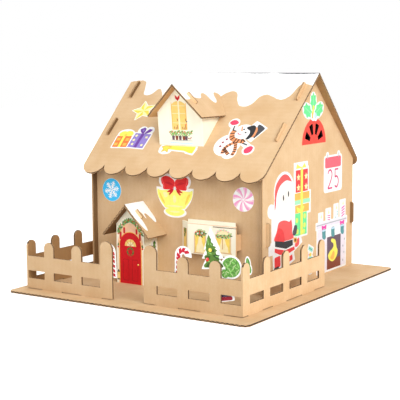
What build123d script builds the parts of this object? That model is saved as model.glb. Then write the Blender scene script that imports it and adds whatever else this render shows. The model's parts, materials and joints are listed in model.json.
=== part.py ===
from build123d import *
from math import cos, hypot, radians, sin, tan
import os

os.makedirs("parts", exist_ok=True)

# A winter cottage of slotted corrugated board on a flat base, with cut paper stickers.
# Millimetres. X runs along the front, Y to the back, Z up from the underside of the base board.

# Board and paper
board = 2.5  # every board piece is cut from this one sheet
paper = 0.25  # stickers
slip = 0.2  # play on each side of a tab in its slot
glue = 0.3  # glue line between a sticker and the back of a picket
seat = 0.3  # gap that a butted edge keeps from a sloping face
past = 1.0  # how far a cutter runs past the face that it opens
tab_nose = 1.0  # corner cut of every tab that stands proud

# Base board
base_width = 350.0
base_depth = 390.0
base_corner = 8.0

# House walls. Rises are measured from the top of the base board.
house_x = -14.0
house_back_in = 9.0  # from the back edge of the base board
house_width = 262.0
house_depth = 248.0
front_setback = 8.5
back_setback = 4.5
ridge_rise = 268.5
roof_slope = 43.0
foot_tab = 28.0
gable_foot_shares = (-0.3, 0.3)  # of the gable's depth
front_foot_shares = (0.07, 0.4)  # of the width between the gables
back_foot_shares = (-0.3, 0.3)
side_tab_rise = 60.0
side_tab_height = 29.0
side_tab_reach = 4.5

# Main roof, one folded sheet with a scalloped edge on both sides
roof_shift = -2.0  # of its middle from the middle of the house
eave_reach = 18.95  # down the slope, past the line where a gable's edge meets the roof
ridge_overhang = 13.5  # past each gable, at the ridge and at the eaves
eave_overhang = 7.5
scallop_count = 8
scallop_depth_share = 0.4534  # of its width
roof_crease = 1.2
gable_tab = 29.5
gable_tab_reach = 4.3
gable_tab_downs = (35.5, 106.5)  # from the ridge to the middle of each tab

# Half-round fan window in the right gable
fan_shift = 8.0  # from the middle of the gable
fan_drop = 91.5  # from the ridge to the middle of its flat foot
fan_hub = 12.5
fan_radius = 26.5
fan_pane_count = 4
fan_pane_angle = 22.5
fan_pane_step = 40.5

# Dormer on the front roof panel
dormer_x = -17.7
dormer_width = 68.0
dormer_foot_down = 134.0  # from the ridge down the slope to the foot of its face
dormer_lean = 6.0
dormer_ridge_drop = 12.5  # below the main ridge
dormer_slope = 44.5
dormer_roof_panel = 59.0
dormer_overhang = 12.0
dormer_crest_tab = 18.0
dormer_crest_tab_down = 27.5
dormer_side_tab = 18.0
dormer_side_tab_up = 22.0

# Porch in front of the door
porch_x = -66.8
porch_width = 44.0
porch_depth = 29.0
porch_ridge_rise = 104.5
porch_slope = 47.5
porch_roof_panel = 55.0
porch_overhang = 10.5
porch_crest_tab = 13.0
porch_crest_tab_down = 19.0
porch_foot_tab = 14.0
porch_wall_tab = 20.0
porch_wall_tab_rise = 24.0
porch_wall_tab_reach = 4.0
crest_tab_reach = 3.5

# Bay window, one sheet folded at its ends and along its top, where a slit has opened
bay_x = 46.0
bay_width = 70.5
bay_depth = 12.0
bay_splay = 16.0
bay_rise = 45.0
bay_height = 39.0
bay_flap_rise = 2.6
bay_flap_shift = 7.0
bay_tab_height = 20.0
bay_tab_rise = 53.0
bay_tab_reach = 4.0
bay_slit = 1.0
bay_slit_length = 33.0

# Picket fences, an L-folded sheet each side of the gate
right_fence_in = 22.0  # from the side and front edges of the base board
right_fence_back = 27.5
left_fence_in = 11.5
left_fence_back = 23.5
picket = 15.0
picket_rise = 61.0
front_gap = 29.3
side_gap = 31.0
front_gap_count = 3
side_gap_count = 4
gate_post = 18.5
gate_post_rise = 70.5
rail_rise = 42.0
window_low = 13.5
window_high = 23.5
fence_relief = 1.0
fence_foot = 22.0
fence_foot_shoulder = 5.0
fence_front_foot_shares = (0.3, 0.76)  # of the front run, from the corner
fence_side_foot_shares = (0.14, 0.42, 0.78)  # of the side run, from the corner

# Stickers: a white border round each, then their sizes and places
border = 1.8
round_side_count = 24  # sides of each small round outline, few enough to keep the stickers light
star_size = 18.0
star_waist_share = 0.5
star_turn = 18.0
star_across_share = 0.386  # of the way from the left gable to the dormer
star_down = 74.5
star_tip_count = 5
gifts_width = 56.0
gifts_across_share = 0.4716
gifts_down = 124.5
comet_length = 54.0
comet_x = -20.0
comet_below = 6.0  # down the roof from the dormer's foot
comet_clear = 1.0
snowman_height = 70.0
snowman_across_share = 0.4687  # of the way from the dormer to the right gable
snowman_down = 119.0
snowflake_radius = 15.3
snowflake_in = 27.3  # from the outer face of the gable beside it
peppermint_radius = 15.0
peppermint_in = 32.0
disc_rise = 116.0
bell_height = 51.0
bell_x = -16.5
bell_rise = 113.5
holly_width = 54.0
holly_shift = 5.0  # from the middle of the gable
holly_drop = 44.5  # from the ridge
calendar_width = 50.0
calendar_height = 46.0
calendar_corner = 5.0
calendar_in = 61.0  # from the back edge of the gable
calendar_rise = 134.0
ring_radius = 2.4
ring_spread = 33.0
father_height = 120.0
father_in = 59.0  # from the front edge of the gable
father_rise = 85.0
hearth_width = 90.0
hearth_in = 63.5
hearth_rise = 49.0
bauble_height = 38.0
bauble_shift = -1.0
bauble_rise = 26.0
sprig_height = 38.0
sprig_rise = 38.0
sprig_in = 8.5
cane_height = 42.0
left_cane_rise = 48.0
left_cane_shift = 4.0
right_cane_rise = 53.0
right_cane_shift = -3.0
tree_height = 86.0
tree_turn = 5.0
tree_rise = 56.0
tree_shift = -4.0
sweet_height = 27.0
sweet_rise = 55.0
sweet_in = 17.5
leaf_height = 20.0
leaf_rise = 56.0
leaf_in = 17.0

# Cut-out shapes as shares of the sticker's driving size, each about the sticker's own middle.
# Discs are (across, up, radius), boxes and ovals are (across, up, width, height, turn).
gifts_box_shares = (
    (-0.24, -0.13, 0.42, 0.36, 2),
    (0.24, -0.08, 0.46, 0.45, -3),
)
gifts_oval_shares = ((-0.24, 0.12, 0.42, 0.24, 0), (0.18, 0.24, 0.2, 0.22, 30), (0.38, 0.24, 0.2, 0.2, -30))
comet_box_shares = ((0.16, 0.02, 0.64, 0.17, -4), (0.39, -0.05, 0.2, 0.16, -12))
comet_disc_shares = ((-0.34, 0.0, 0.16), (-0.42, -0.07, 0.07), (-0.26, -0.07, 0.07))
snowman_disc_shares = (
    (-0.2, -0.16, 0.24),
    (-0.02, 0.15, 0.18),
    (-0.29, 0.38, 0.09),
    (0.27, -0.25, 0.095),
    (-0.08, -0.34, 0.12),
)
snowman_box_shares = (
    (0.2, 0.19, 0.28, 0.36, -30),
    (-0.24, 0.22, 0.08, 0.36, 8),
    (0.12, -0.1, 0.36, 0.08, -35),
)
bell_oval_shares = (
    (-0.22, 0.36, 0.46, 0.34, -12),
    (0.22, 0.36, 0.46, 0.34, 12),
    (0.0, 0.24, 0.3, 0.2, 0),
    (0.0, -0.4, 0.62, 0.2, 0),
)
bell_side_shares = ((-0.56, 0.22), (-0.5, -0.06), (-0.24, -0.36))
holly_oval_shares = (
    (-0.3, -0.07, 0.46, 0.3, -28),
    (0.3, -0.07, 0.46, 0.3, 28),
    (0.0, 0.13, 0.28, 0.42, 0),
)
holly_disc_shares = ((0.0, -0.16, 0.13), (0.12, -0.22, 0.08))
father_disc_shares = ((-0.32, 0.14, 0.06), (-0.06, 0.12, 0.21))
father_oval_shares = ((-0.05, 0.32, 0.4, 0.38, 0),)
father_box_shares = (
    (-0.12, -0.08, 0.36, 0.36, 0),
    (0.13, 0.04, 0.1, 0.5, 0),
    (-0.14, -0.25, 0.44, 0.1, 0),
    (-0.2, -0.38, 0.14, 0.2, 4),
    (0.05, -0.37, 0.2, 0.16, 16),
    (0.16, -0.24, 0.3, 0.16, 22),
    (0.32, 0.4, 0.3, 0.26, 0),
    (0.34, 0.16, 0.36, 0.22, 0),
    (0.31, -0.06, 0.28, 0.26, 0),
    (0.31, 0.55, 0.28, 0.06, 0),
)
hearth_box_shares = (
    (0.0, 0.2, 1.0, 0.08, 0),
    (0.0, -0.15, 0.94, 0.7, 0),
    (-0.36, 0.3, 0.12, 0.16, 0),
    (-0.12, 0.32, 0.14, 0.2, 0),
    (0.14, 0.34, 0.13, 0.24, 0),
    (0.36, 0.36, 0.17, 0.28, 0),
)
bauble_disc_shares = ((0.0, -0.16, 0.3),)
bauble_box_shares = ((0.0, 0.22, 0.2, 0.14, 0), (0.02, 0.38, 0.34, 0.16, -24))
sprig_oval_shares = ((0.02, 0.22, 0.22, 0.5, 8), (-0.02, -0.22, 0.2, 0.5, -6))
cane_path_shares = ((0.13, -0.5), (0.1, 0.2), (-0.08, 0.38), (-0.22, 0.2))
cane_width_share = 0.14
tree_tier_shares = (
    ((-0.13, 0.2), (0.0, 0.5), (0.13, 0.2)),
    ((-0.17, 0.08), (0.0, 0.38), (0.17, 0.08)),
    ((-0.19, -0.06), (0.0, 0.26), (0.19, -0.06)),
)
tree_box_shares = ((0.05, -0.16, 0.1, 0.24, 0), (0.09, -0.36, 0.34, 0.22, 6))
sweet_oval_shares = ((0.0, 0.0, 0.92, 0.86, 20), (-0.3, -0.3, 0.4, 0.36, -20))
leaf_oval_shares = ((-0.05, 0.1, 0.4, 0.8, 20), (0.15, -0.24, 0.3, 0.46, 20))

# Sizes that follow
base_top = board
slope_sin = sin(radians(roof_slope))
slope_cos = cos(radians(roof_slope))
slope_tan = tan(radians(roof_slope))
ridge_z = base_top + ridge_rise
house_y = base_depth / 2 - house_back_in - house_depth / 2
roof_x = house_x + roof_shift
roof_panel = house_depth / 2 / slope_cos + eave_reach
ridge_length = house_width + 2 * ridge_overhang
eave_length = house_width + 2 * eave_overhang
slot = board + 2 * slip
left_wall_x = house_x - house_width / 2
right_wall_x = house_x + house_width / 2
inner_width = house_width - 2 * board
gable_front_y = house_y - house_depth / 2
gable_back_y = house_y + house_depth / 2
front_wall_y = gable_front_y + front_setback
back_wall_y = gable_back_y - back_setback
right_fence_x = base_width / 2 - right_fence_in
right_fence_y = right_fence_back - base_depth / 2
left_fence_x = left_fence_in - base_width / 2
left_fence_y = left_fence_back - base_depth / 2


def roof_face_z(y):
    """Height of the main roof's outer face over a place in depth."""
    return ridge_z - abs(y - house_y) * slope_tan


def roof_under_z(y):
    """Height of the main roof's underside over a place in depth."""
    return roof_face_z(y) - board / slope_cos


def wall_plane(x, rise):
    """A sketch plane on the front wall's outer face."""
    return Plane((x, front_wall_y, base_top + rise), x_dir=(1, 0, 0), z_dir=(0, -1, 0))


def gable_plane(y, rise):
    """A sketch plane on the right gable's outer face."""
    return Plane((right_wall_x, y, base_top + rise), x_dir=(0, 1, 0), z_dir=(1, 0, 0))


def roof_plane(x, down, turn=0):
    """A sketch plane on the front roof panel's outer face, a way down from the ridge."""
    spot = (x, house_y - down * slope_cos, ridge_z - down * slope_sin)
    turned = (cos(radians(turn)), sin(radians(turn)) * slope_cos, sin(radians(turn)) * slope_sin)
    return Plane(spot, x_dir=turned, z_dir=(0, -slope_sin, slope_cos))


def slope_spot(side, down, proud):
    """Place and turn, in depth and height, of something a way down the main roof and proud of it."""
    y = house_y + side * (down * slope_cos + proud * slope_sin)
    z = ridge_z - down * slope_sin + proud * slope_cos
    return Location((y, z, 0), (0, 0, -side * roof_slope))


def draw_discs(shares, size):
    """Discs with a white border, as shares of the sticker's size."""
    for across, up, radius in shares:
        with Locations((across * size, up * size)):
            RegularPolygon(radius * size + border, round_side_count)


def draw_card(width, height, cut):
    """A box with its corners cut off."""
    Polygon(
        (width / 2, height / 2 - cut),
        (width / 2 - cut, height / 2),
        (cut - width / 2, height / 2),
        (-width / 2, height / 2 - cut),
        (-width / 2, cut - height / 2),
        (cut - width / 2, -height / 2),
        (width / 2 - cut, -height / 2),
        (width / 2, cut - height / 2),
    )


def draw_boxes(shares, size):
    """Boxes with a white border and cut corners."""
    for across, up, width, height, turn in shares:
        with Locations(Location((across * size, up * size, 0), (0, 0, turn))):
            draw_card(width * size + 2 * border, height * size + 2 * border, border / 2)


def draw_ovals(shares, size):
    """Ovals with a white border."""
    steps = [radians(360 * side / round_side_count) for side in range(round_side_count)]
    for across, up, width, height, turn in shares:
        half_width = width * size / 2 + border
        half_height = height * size / 2 + border
        with Locations(Location((across * size, up * size, 0), (0, 0, turn))):
            Polygon(*[(half_width * cos(step), half_height * sin(step)) for step in steps])


# Base board, with a slot for every tab that stands in it
fence_turns = ((-1, right_fence_x, right_fence_y), (1, left_fence_x, left_fence_y))
front_run = front_gap_count * front_gap + (front_gap_count - 1) * picket + gate_post
side_run = side_gap_count * side_gap + (side_gap_count + 1) * picket
porch_front_y = front_wall_y - porch_depth
with BuildPart() as base_board:
    with BuildSketch():
        RectangleRounded(base_width, base_depth, base_corner)
    extrude(amount=board)
    with BuildSketch():
        for wall_x in (left_wall_x + board / 2, right_wall_x - board / 2):
            for share in gable_foot_shares:
                with Locations((wall_x, house_y + share * house_depth)):
                    Rectangle(slot, foot_tab + 2 * slip)
        for wall_y, shares in (
            (front_wall_y + board / 2, front_foot_shares),
            (back_wall_y - board / 2, back_foot_shares),
        ):
            for share in shares:
                with Locations((house_x + share * inner_width, wall_y)):
                    Rectangle(foot_tab + 2 * slip, slot)
        for side in (-1, 1):
            with Locations((porch_x + side * (porch_width - board) / 2, front_wall_y - porch_depth / 2)):
                Rectangle(slot, porch_foot_tab + 2 * slip)
        for turn, corner_x, corner_y in fence_turns:
            for share in fence_front_foot_shares:
                with Locations((corner_x + turn * share * front_run, corner_y + board / 2)):
                    Rectangle(fence_foot + 2 * slip, slot)
            for share in fence_side_foot_shares:
                with Locations((corner_x + turn * board / 2, corner_y + share * side_run)):
                    Rectangle(slot, fence_foot + 2 * slip)
    extrude(amount=board, mode=Mode.SUBTRACT)

# Gable walls: a pentagon with tabs up its slopes and at its foot
gable_walls = {}
for wall_name, wall_x in (("left_gable_wall", left_wall_x), ("right_gable_wall", right_wall_x - board)):
    with BuildPart() as gable_wall:
        with BuildSketch(Plane.YZ.offset(wall_x)):
            Polygon(
                (gable_front_y, base_top),
                (gable_front_y, roof_under_z(gable_front_y)),
                (house_y, roof_under_z(house_y)),
                (gable_back_y, roof_under_z(gable_back_y)),
                (gable_back_y, base_top),
            )
            tab_depth = gable_tab_reach + board + past
            for side in (-1, 1):
                for down in gable_tab_downs:
                    with Locations(slope_spot(side, down, gable_tab_reach - tab_depth / 2)):
                        draw_card(gable_tab, tab_depth, tab_nose)
            for share in gable_foot_shares:
                with Locations((house_y + share * house_depth, base_top / 2)):
                    Rectangle(foot_tab, board)
            for tab_y in (front_wall_y + board / 2, back_wall_y - board / 2):
                with Locations((tab_y, base_top + side_tab_rise + side_tab_height / 2)):
                    Rectangle(slot, side_tab_height + 2 * slip, mode=Mode.SUBTRACT)
        extrude(amount=board)
    gable_walls[wall_name] = gable_wall

# The right gable's fan window: four panes between spokes
right_gable_wall = gable_walls["right_gable_wall"]
left_gable_wall = gable_walls["left_gable_wall"]
with right_gable_wall:
    with BuildSketch(gable_plane(house_y + fan_shift, ridge_rise - fan_drop)):
        pane_spread = 2 * fan_radius * tan(radians(fan_pane_angle / 2))
        for pane in range(fan_pane_count):
            aim = fan_pane_step * (pane - (fan_pane_count - 1) / 2)
            with Locations(Location((0, 0, 0), (0, 0, aim))):
                Polygon((0, 0), (pane_spread, 2 * fan_radius), (-pane_spread, 2 * fan_radius))
        Circle(fan_radius, mode=Mode.INTERSECT)
        Circle(fan_hub, mode=Mode.SUBTRACT)
    extrude(amount=-board, mode=Mode.SUBTRACT)

# Front and back walls, each with one tab through each gable and tabs in the base
with BuildPart() as front_wall:
    with BuildSketch(wall_plane(house_x, 0)):
        wall_rise = roof_under_z(front_wall_y) - base_top - seat
        with Locations((0, wall_rise / 2)):
            Rectangle(inner_width, wall_rise)
        with Locations((0, side_tab_rise + side_tab_height / 2)):
            draw_card(house_width + 2 * side_tab_reach, side_tab_height, 2 * tab_nose)
        for share in front_foot_shares:
            with Locations((share * inner_width, -board / 2)):
                Rectangle(foot_tab, board)
        for side in (-1, 1):
            porch_side_x = porch_x + side * (porch_width - board) / 2 - house_x
            with Locations((porch_side_x, porch_wall_tab_rise + porch_wall_tab / 2)):
                Rectangle(slot, porch_wall_tab + 2 * slip, mode=Mode.SUBTRACT)
        with Locations((bay_x + (bay_width - board) / 2 - house_x, bay_tab_rise + bay_tab_height / 2)):
            Rectangle(slot, bay_tab_height + 2 * slip, mode=Mode.SUBTRACT)
    extrude(amount=-board)

with BuildPart() as back_wall:
    with BuildSketch(Plane((house_x, back_wall_y, base_top), x_dir=(-1, 0, 0), z_dir=(0, 1, 0))):
        wall_rise = roof_under_z(back_wall_y) - base_top - seat
        with Locations((0, wall_rise / 2)):
            Rectangle(inner_width, wall_rise)
        with Locations((0, side_tab_rise + side_tab_height / 2)):
            draw_card(house_width + 2 * side_tab_reach, side_tab_height, 2 * tab_nose)
        for share in back_foot_shares:
            with Locations((-share * inner_width, -board / 2)):
                Rectangle(foot_tab, board)
    extrude(amount=-board)

# Main roof: the front panel with its scallops, mirrored over the ridge, then slotted
scallop = eave_length / scallop_count
cusp = scallop_depth_share * scallop - roof_panel
dormer_half = dormer_width / 2
with BuildPart() as roof:
    with BuildSketch(roof_plane(roof_x, 0)):
        with BuildLine():
            Polyline(
                (-eave_length / 2, cusp),
                (-ridge_length / 2, 0),
                (ridge_length / 2, 0),
                (eave_length / 2, cusp),
            )
            for turn in range(scallop_count):
                left = turn * scallop - eave_length / 2
                ThreePointArc((left, cusp), (left + scallop / 2, -roof_panel), (left + scallop, cusp))
        make_face()
    extrude(amount=-board)
    mirror(about=Plane.XZ.offset(-house_y))
    crest = roof.edges().filter_by(Axis.X).sort_by(Axis.Z)[-1]
    fillet(crest, radius=roof_crease)
    for wall_x in (left_wall_x, right_wall_x - board):
        with BuildSketch(Plane.YZ.offset(wall_x - slip)):
            for side in (-1, 1):
                for down in gable_tab_downs:
                    with Locations(slope_spot(side, down, -board / 2)):
                        Rectangle(gable_tab + 2 * slip, board + 2 * past)
        extrude(amount=slot, mode=Mode.SUBTRACT)
    for side in (-1, 1):
        with BuildSketch(Plane.YZ.offset(dormer_x + side * (dormer_half - board / 2) - slot / 2)):
            with Locations(slope_spot(-1, dormer_foot_down - dormer_side_tab_up, -board / 2)):
                Rectangle(dormer_side_tab + 2 * slip, board + 2 * past)
        extrude(amount=slot, mode=Mode.SUBTRACT)

# Dormer
lean_sin = sin(radians(dormer_lean))
lean_cos = cos(radians(dormer_lean))
lean_tan = tan(radians(dormer_lean))
dormer_cos = cos(radians(dormer_slope))
dormer_tan = tan(radians(dormer_slope))
dormer_ridge_z = ridge_z - dormer_ridge_drop
dormer_foot_y = house_y - dormer_foot_down * slope_cos
dormer_foot_z = roof_face_z(dormer_foot_y)
dormer_apex_z = dormer_ridge_z - board / dormer_cos
dormer_shoulder_z = dormer_apex_z - dormer_half * dormer_tan
dormer_back_y = house_y - (ridge_z - dormer_ridge_z) / slope_tan


def lean_plane(z):
    """A sketch plane on the dormer's leaning face at a height."""
    spot = (dormer_x, dormer_foot_y - (z - dormer_foot_z) * lean_tan, z)
    return Plane(spot, x_dir=(1, 0, 0), z_dir=(0, -lean_cos, -lean_sin))


def draw_crest_tabs(slope, down, length, play):
    """Tabs square to a small roof, either side of the top of a gable face, in the face's own plane."""
    depth = crest_tab_reach + board + past
    for side in (-1, 1):
        across = down * cos(radians(slope)) + (crest_tab_reach - depth / 2) * sin(radians(slope))
        up = (crest_tab_reach - depth / 2) * cos(radians(slope)) - down * sin(radians(slope))
        with Locations(Location((side * across, up, 0), (0, 0, -side * slope))):
            Rectangle(length + 2 * play, depth + 2 * play)


with BuildPart() as dormer_body:
    with BuildSketch(Plane.XZ.offset(-dormer_back_y)):
        Polygon(
            (dormer_x - dormer_half, dormer_foot_z),
            (dormer_x - dormer_half, dormer_shoulder_z),
            (dormer_x, dormer_apex_z),
            (dormer_x + dormer_half, dormer_shoulder_z),
            (dormer_x + dormer_half, dormer_foot_z),
        )
    extrude(amount=dormer_back_y - dormer_foot_y + dormer_width)
    with BuildSketch(Plane.YZ.offset(dormer_x - dormer_half)):
        Polygon(
            (dormer_foot_y, dormer_foot_z),
            (dormer_foot_y - (dormer_ridge_z - dormer_foot_z) * lean_tan, dormer_ridge_z),
            (dormer_back_y, dormer_ridge_z),
        )
    extrude(amount=dormer_width, mode=Mode.INTERSECT)
    with BuildSketch(Plane.YZ.offset(dormer_x - dormer_half + board)):
        inside_y = dormer_foot_y + board / lean_cos
        Polygon(
            (inside_y, dormer_foot_z - past),
            (inside_y - (dormer_ridge_z - dormer_foot_z) * lean_tan, dormer_ridge_z),
            (dormer_back_y + past, dormer_ridge_z),
            (dormer_back_y + past, dormer_foot_z - past),
        )
    extrude(amount=dormer_width - 2 * board, mode=Mode.SUBTRACT)
    with BuildSketch(lean_plane(dormer_ridge_z)):
        draw_crest_tabs(dormer_slope, dormer_crest_tab_down, dormer_crest_tab, 0)
    extrude(amount=-board)
    for side in (-1, 1):
        with BuildSketch(Plane.YZ.offset(dormer_x + side * (dormer_half - board / 2) - board / 2)):
            with Locations(slope_spot(-1, dormer_foot_down - dormer_side_tab_up, (past - board) / 2)):
                Rectangle(dormer_side_tab, board + past)
        extrude(amount=board)


def draw_small_roof(centre_x, top_z, slope, panel):
    """Front view of a small folded roof sheet."""
    run = panel * cos(radians(slope))
    drop = panel * sin(radians(slope))
    inner_run = run - board * sin(radians(slope))
    inner_drop = drop + board * cos(radians(slope))
    Polygon(
        (centre_x - run, top_z - drop),
        (centre_x, top_z),
        (centre_x + run, top_z - drop),
        (centre_x + inner_run, top_z - inner_drop),
        (centre_x, top_z - board / cos(radians(slope))),
        (centre_x - inner_run, top_z - inner_drop),
    )


dormer_face_y = dormer_foot_y - (dormer_ridge_z - dormer_foot_z) * lean_tan
dormer_roof_y = dormer_face_y - dormer_overhang
dormer_low_z = dormer_ridge_z - dormer_roof_panel
dormer_low_y = dormer_roof_y + dormer_roof_panel * lean_tan
with BuildPart() as dormer_roof:
    with BuildSketch(Plane.XZ.offset(-dormer_back_y)):
        draw_small_roof(dormer_x, dormer_ridge_z, dormer_slope, dormer_roof_panel)
    extrude(amount=dormer_back_y - dormer_roof_y)
    with BuildSketch(Plane.YZ.offset(dormer_x - dormer_roof_panel)):
        Polygon(
            (dormer_roof_y - past * lean_tan, dormer_ridge_z + past),
            (dormer_low_y, dormer_low_z),
            (dormer_low_y, roof_face_z(dormer_low_y) + seat),
            (dormer_back_y + (past - seat) / slope_tan, dormer_ridge_z + past),
        )
    extrude(amount=2 * dormer_roof_panel, mode=Mode.INTERSECT)
    with BuildSketch(lean_plane(dormer_ridge_z).offset(slip)):
        draw_crest_tabs(dormer_slope, dormer_crest_tab_down, dormer_crest_tab, slip)
    extrude(amount=-slot, mode=Mode.SUBTRACT)

# Porch: a folded front and two sides, under its own folded roof
porch_ridge_z = base_top + porch_ridge_rise
porch_half = porch_width / 2
porch_apex_z = porch_ridge_z - board / cos(radians(porch_slope))
porch_shoulder_z = porch_apex_z - porch_half * tan(radians(porch_slope))
with BuildPart() as porch_body:
    with BuildSketch(Plane.XZ.offset(-front_wall_y)):
        Polygon(
            (porch_x - porch_half, base_top),
            (porch_x - porch_half, porch_shoulder_z),
            (porch_x, porch_apex_z),
            (porch_x + porch_half, porch_shoulder_z),
            (porch_x + porch_half, base_top),
        )
    extrude(amount=porch_depth)
    with BuildSketch(Plane.XY.offset(base_top)):
        with Locations((porch_x, front_wall_y - (porch_depth - board) / 2)):
            Rectangle(porch_width - 2 * board, porch_depth - board)
    extrude(amount=porch_ridge_rise, mode=Mode.SUBTRACT)
    with BuildSketch(Plane((porch_x, porch_front_y, porch_ridge_z), x_dir=(1, 0, 0), z_dir=(0, -1, 0))):
        draw_crest_tabs(porch_slope, porch_crest_tab_down, porch_crest_tab, 0)
    extrude(amount=-board)
    for side in (-1, 1):
        with BuildSketch(Plane.YZ.offset(porch_x + side * (porch_half - board / 2) - board / 2)):
            with Locations((front_wall_y - porch_depth / 2, base_top / 2)):
                Rectangle(porch_foot_tab, board)
            wall_tab = board + porch_wall_tab_reach
            wall_tab_z = base_top + porch_wall_tab_rise + porch_wall_tab / 2
            with Locations((front_wall_y + wall_tab / 2, wall_tab_z)):
                Rectangle(wall_tab, porch_wall_tab)
        extrude(amount=board)

with BuildPart() as porch_roof:
    with BuildSketch(Plane.XZ.offset(-front_wall_y)):
        draw_small_roof(porch_x, porch_ridge_z, porch_slope, porch_roof_panel)
    extrude(amount=porch_depth + porch_overhang)
    crest = (porch_x, porch_front_y - slip, porch_ridge_z)
    with BuildSketch(Plane(crest, x_dir=(1, 0, 0), z_dir=(0, -1, 0))):
        draw_crest_tabs(porch_slope, porch_crest_tab_down, porch_crest_tab, slip)
    extrude(amount=-slot, mode=Mode.SUBTRACT)

# Bay window: a splayed end, the printed face, a tab back through the wall and a top flap over a slit
bay_left_x = bay_x - bay_width / 2
bay_right_x = bay_x + bay_width / 2
bay_face_y = front_wall_y - bay_depth
splay_length = hypot(bay_splay, bay_depth)
splay_mitre = board * (splay_length - bay_splay) / bay_depth
bay_top_z = base_top + bay_rise + bay_height
flap_length = hypot(bay_depth, bay_flap_rise)
flap_sin = bay_flap_rise / flap_length
flap_cos = bay_depth / flap_length
flap_plane = Plane((0, bay_face_y, bay_top_z), x_dir=(1, 0, 0), z_dir=(0, -flap_sin, flap_cos))
with BuildPart() as bay_window:
    with BuildSketch(Plane.XY.offset(base_top + bay_rise)):
        Polygon(
            (bay_left_x - bay_splay, front_wall_y),
            (bay_left_x, bay_face_y),
            (bay_right_x, bay_face_y),
            (bay_right_x, bay_face_y + board),
            (bay_left_x + splay_mitre, bay_face_y + board),
            (bay_left_x - bay_splay + board * splay_length / bay_depth, front_wall_y),
        )
    extrude(amount=bay_height)
    with BuildSketch(Plane.YZ.offset(bay_right_x - board)):
        tab_run = bay_depth + board + bay_tab_reach
        with Locations((bay_face_y + tab_run / 2, base_top + bay_tab_rise + bay_tab_height / 2)):
            Rectangle(tab_run, bay_tab_height)
    extrude(amount=board)
    with BuildSketch(flap_plane):
        flap_run = (bay_depth - board * flap_sin) / flap_cos
        Polygon(
            (bay_left_x, 0),
            (bay_right_x, 0),
            (bay_right_x - bay_flap_shift, flap_run),
            (bay_left_x - bay_flap_shift, flap_run),
        )
    extrude(amount=-board)
    with BuildSketch(Plane((bay_right_x, bay_face_y, bay_top_z), x_dir=(1, 0, 0), z_dir=(0, -1, 0))):
        with Locations((-bay_slit_length / 2, -board - bay_slit / 2)):
            Rectangle(bay_slit_length, bay_slit)
    extrude(amount=-board, mode=Mode.SUBTRACT)

# Fences
fences = {}
for fence_name, (turn, corner_x, corner_y) in zip(("right_fence", "left_fence"), fence_turns):
    with BuildPart() as fence:
        front_plane = Plane((corner_x, corner_y, base_top), x_dir=(1, 0, 0), z_dir=(0, -1, 0))
        side_plane = Plane((corner_x, corner_y, base_top), x_dir=(0, 1, 0), z_dir=(1, 0, 0))
        runs = (
            (front_plane, turn, front_run, front_gap, front_gap_count, 0, fence_front_foot_shares, -board),
            (side_plane, 1, side_run, side_gap, side_gap_count, picket, fence_side_foot_shares, turn * board),
        )
        for plane, way, run, gap, gaps, first, foot_shares, thick in runs:
            with BuildSketch(plane):
                with Locations((way * run / 2, (fence_relief + rail_rise) / 2)):
                    Rectangle(run, rail_rise - fence_relief)
                for number in range(gaps + 1):
                    low = first + number * (gap + picket) - picket
                    width = gate_post if plane is front_plane and number == gaps else picket
                    rise = gate_post_rise if plane is front_plane and number == gaps else picket_rise
                    if low >= 0:
                        with Locations((way * (low + width / 2), (rail_rise + rise - width / 2) / 2)):
                            Rectangle(width, rise - width / 2 - rail_rise + past)
                        with Locations((way * (low + width / 2), rise - width / 2)):
                            Circle(width / 2)
                    if number < gaps:
                        window_x = low + picket + gap / 2
                        with Locations((way * window_x, (window_low + window_high) / 2)):
                            Rectangle(gap, window_high - window_low, mode=Mode.SUBTRACT)
                for share in foot_shares:
                    with Locations((way * share * run, window_low / 2)):
                        Rectangle(fence_foot + 2 * fence_foot_shoulder, window_low)
                    with Locations((way * share * run, -board / 2)):
                        Rectangle(fence_foot, board)
            extrude(amount=thick)
    fences[fence_name] = fence
right_fence = fences["right_fence"]
left_fence = fences["left_fence"]

# Stickers on the roof
dormer_left_x = dormer_x - dormer_half
dormer_right_x = dormer_x + dormer_half
star_x = left_wall_x + star_across_share * (dormer_left_x - left_wall_x)
gifts_x = left_wall_x + gifts_across_share * (dormer_left_x - left_wall_x)
snowman_x = dormer_right_x + snowman_across_share * (right_wall_x - dormer_right_x)
with BuildPart() as star_sticker:
    with BuildSketch(roof_plane(star_x, star_down, star_turn)):
        tips = []
        for number in range(2 * star_tip_count):
            reach = star_size if number % 2 == 0 else star_size * star_waist_share
            angle = radians(90 + number * 180 / star_tip_count)
            tips.append((reach * cos(angle), reach * sin(angle)))
        Polygon(*tips)
        offset(amount=border / 2)
    extrude(amount=paper)

with BuildPart() as gifts_sticker:
    with BuildSketch(roof_plane(gifts_x, gifts_down)):
        draw_boxes(gifts_box_shares, gifts_width)
        draw_ovals(gifts_oval_shares, gifts_width)
    extrude(amount=paper)

with BuildPart() as comet_sticker:
    with BuildSketch(roof_plane(comet_x, dormer_foot_down + comet_below)):
        draw_boxes(comet_box_shares, comet_length)
        draw_discs(comet_disc_shares, comet_length)
        with Locations((0, comet_below - comet_clear + comet_length / 2)):
            Rectangle(2 * comet_length, comet_length, mode=Mode.SUBTRACT)
    extrude(amount=paper)

with BuildPart() as snowman_sticker:
    with BuildSketch(roof_plane(snowman_x, snowman_down)):
        draw_discs(snowman_disc_shares, snowman_height)
        draw_boxes(snowman_box_shares, snowman_height)
    extrude(amount=paper)

# Stickers on the front wall
with BuildPart() as snowflake_sticker:
    with BuildSketch(wall_plane(left_wall_x + snowflake_in, disc_rise)):
        Circle(snowflake_radius)
    extrude(amount=paper)

with BuildPart() as peppermint_sticker:
    with BuildSketch(wall_plane(right_wall_x - peppermint_in, disc_rise)):
        Circle(peppermint_radius)
    extrude(amount=paper)

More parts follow.
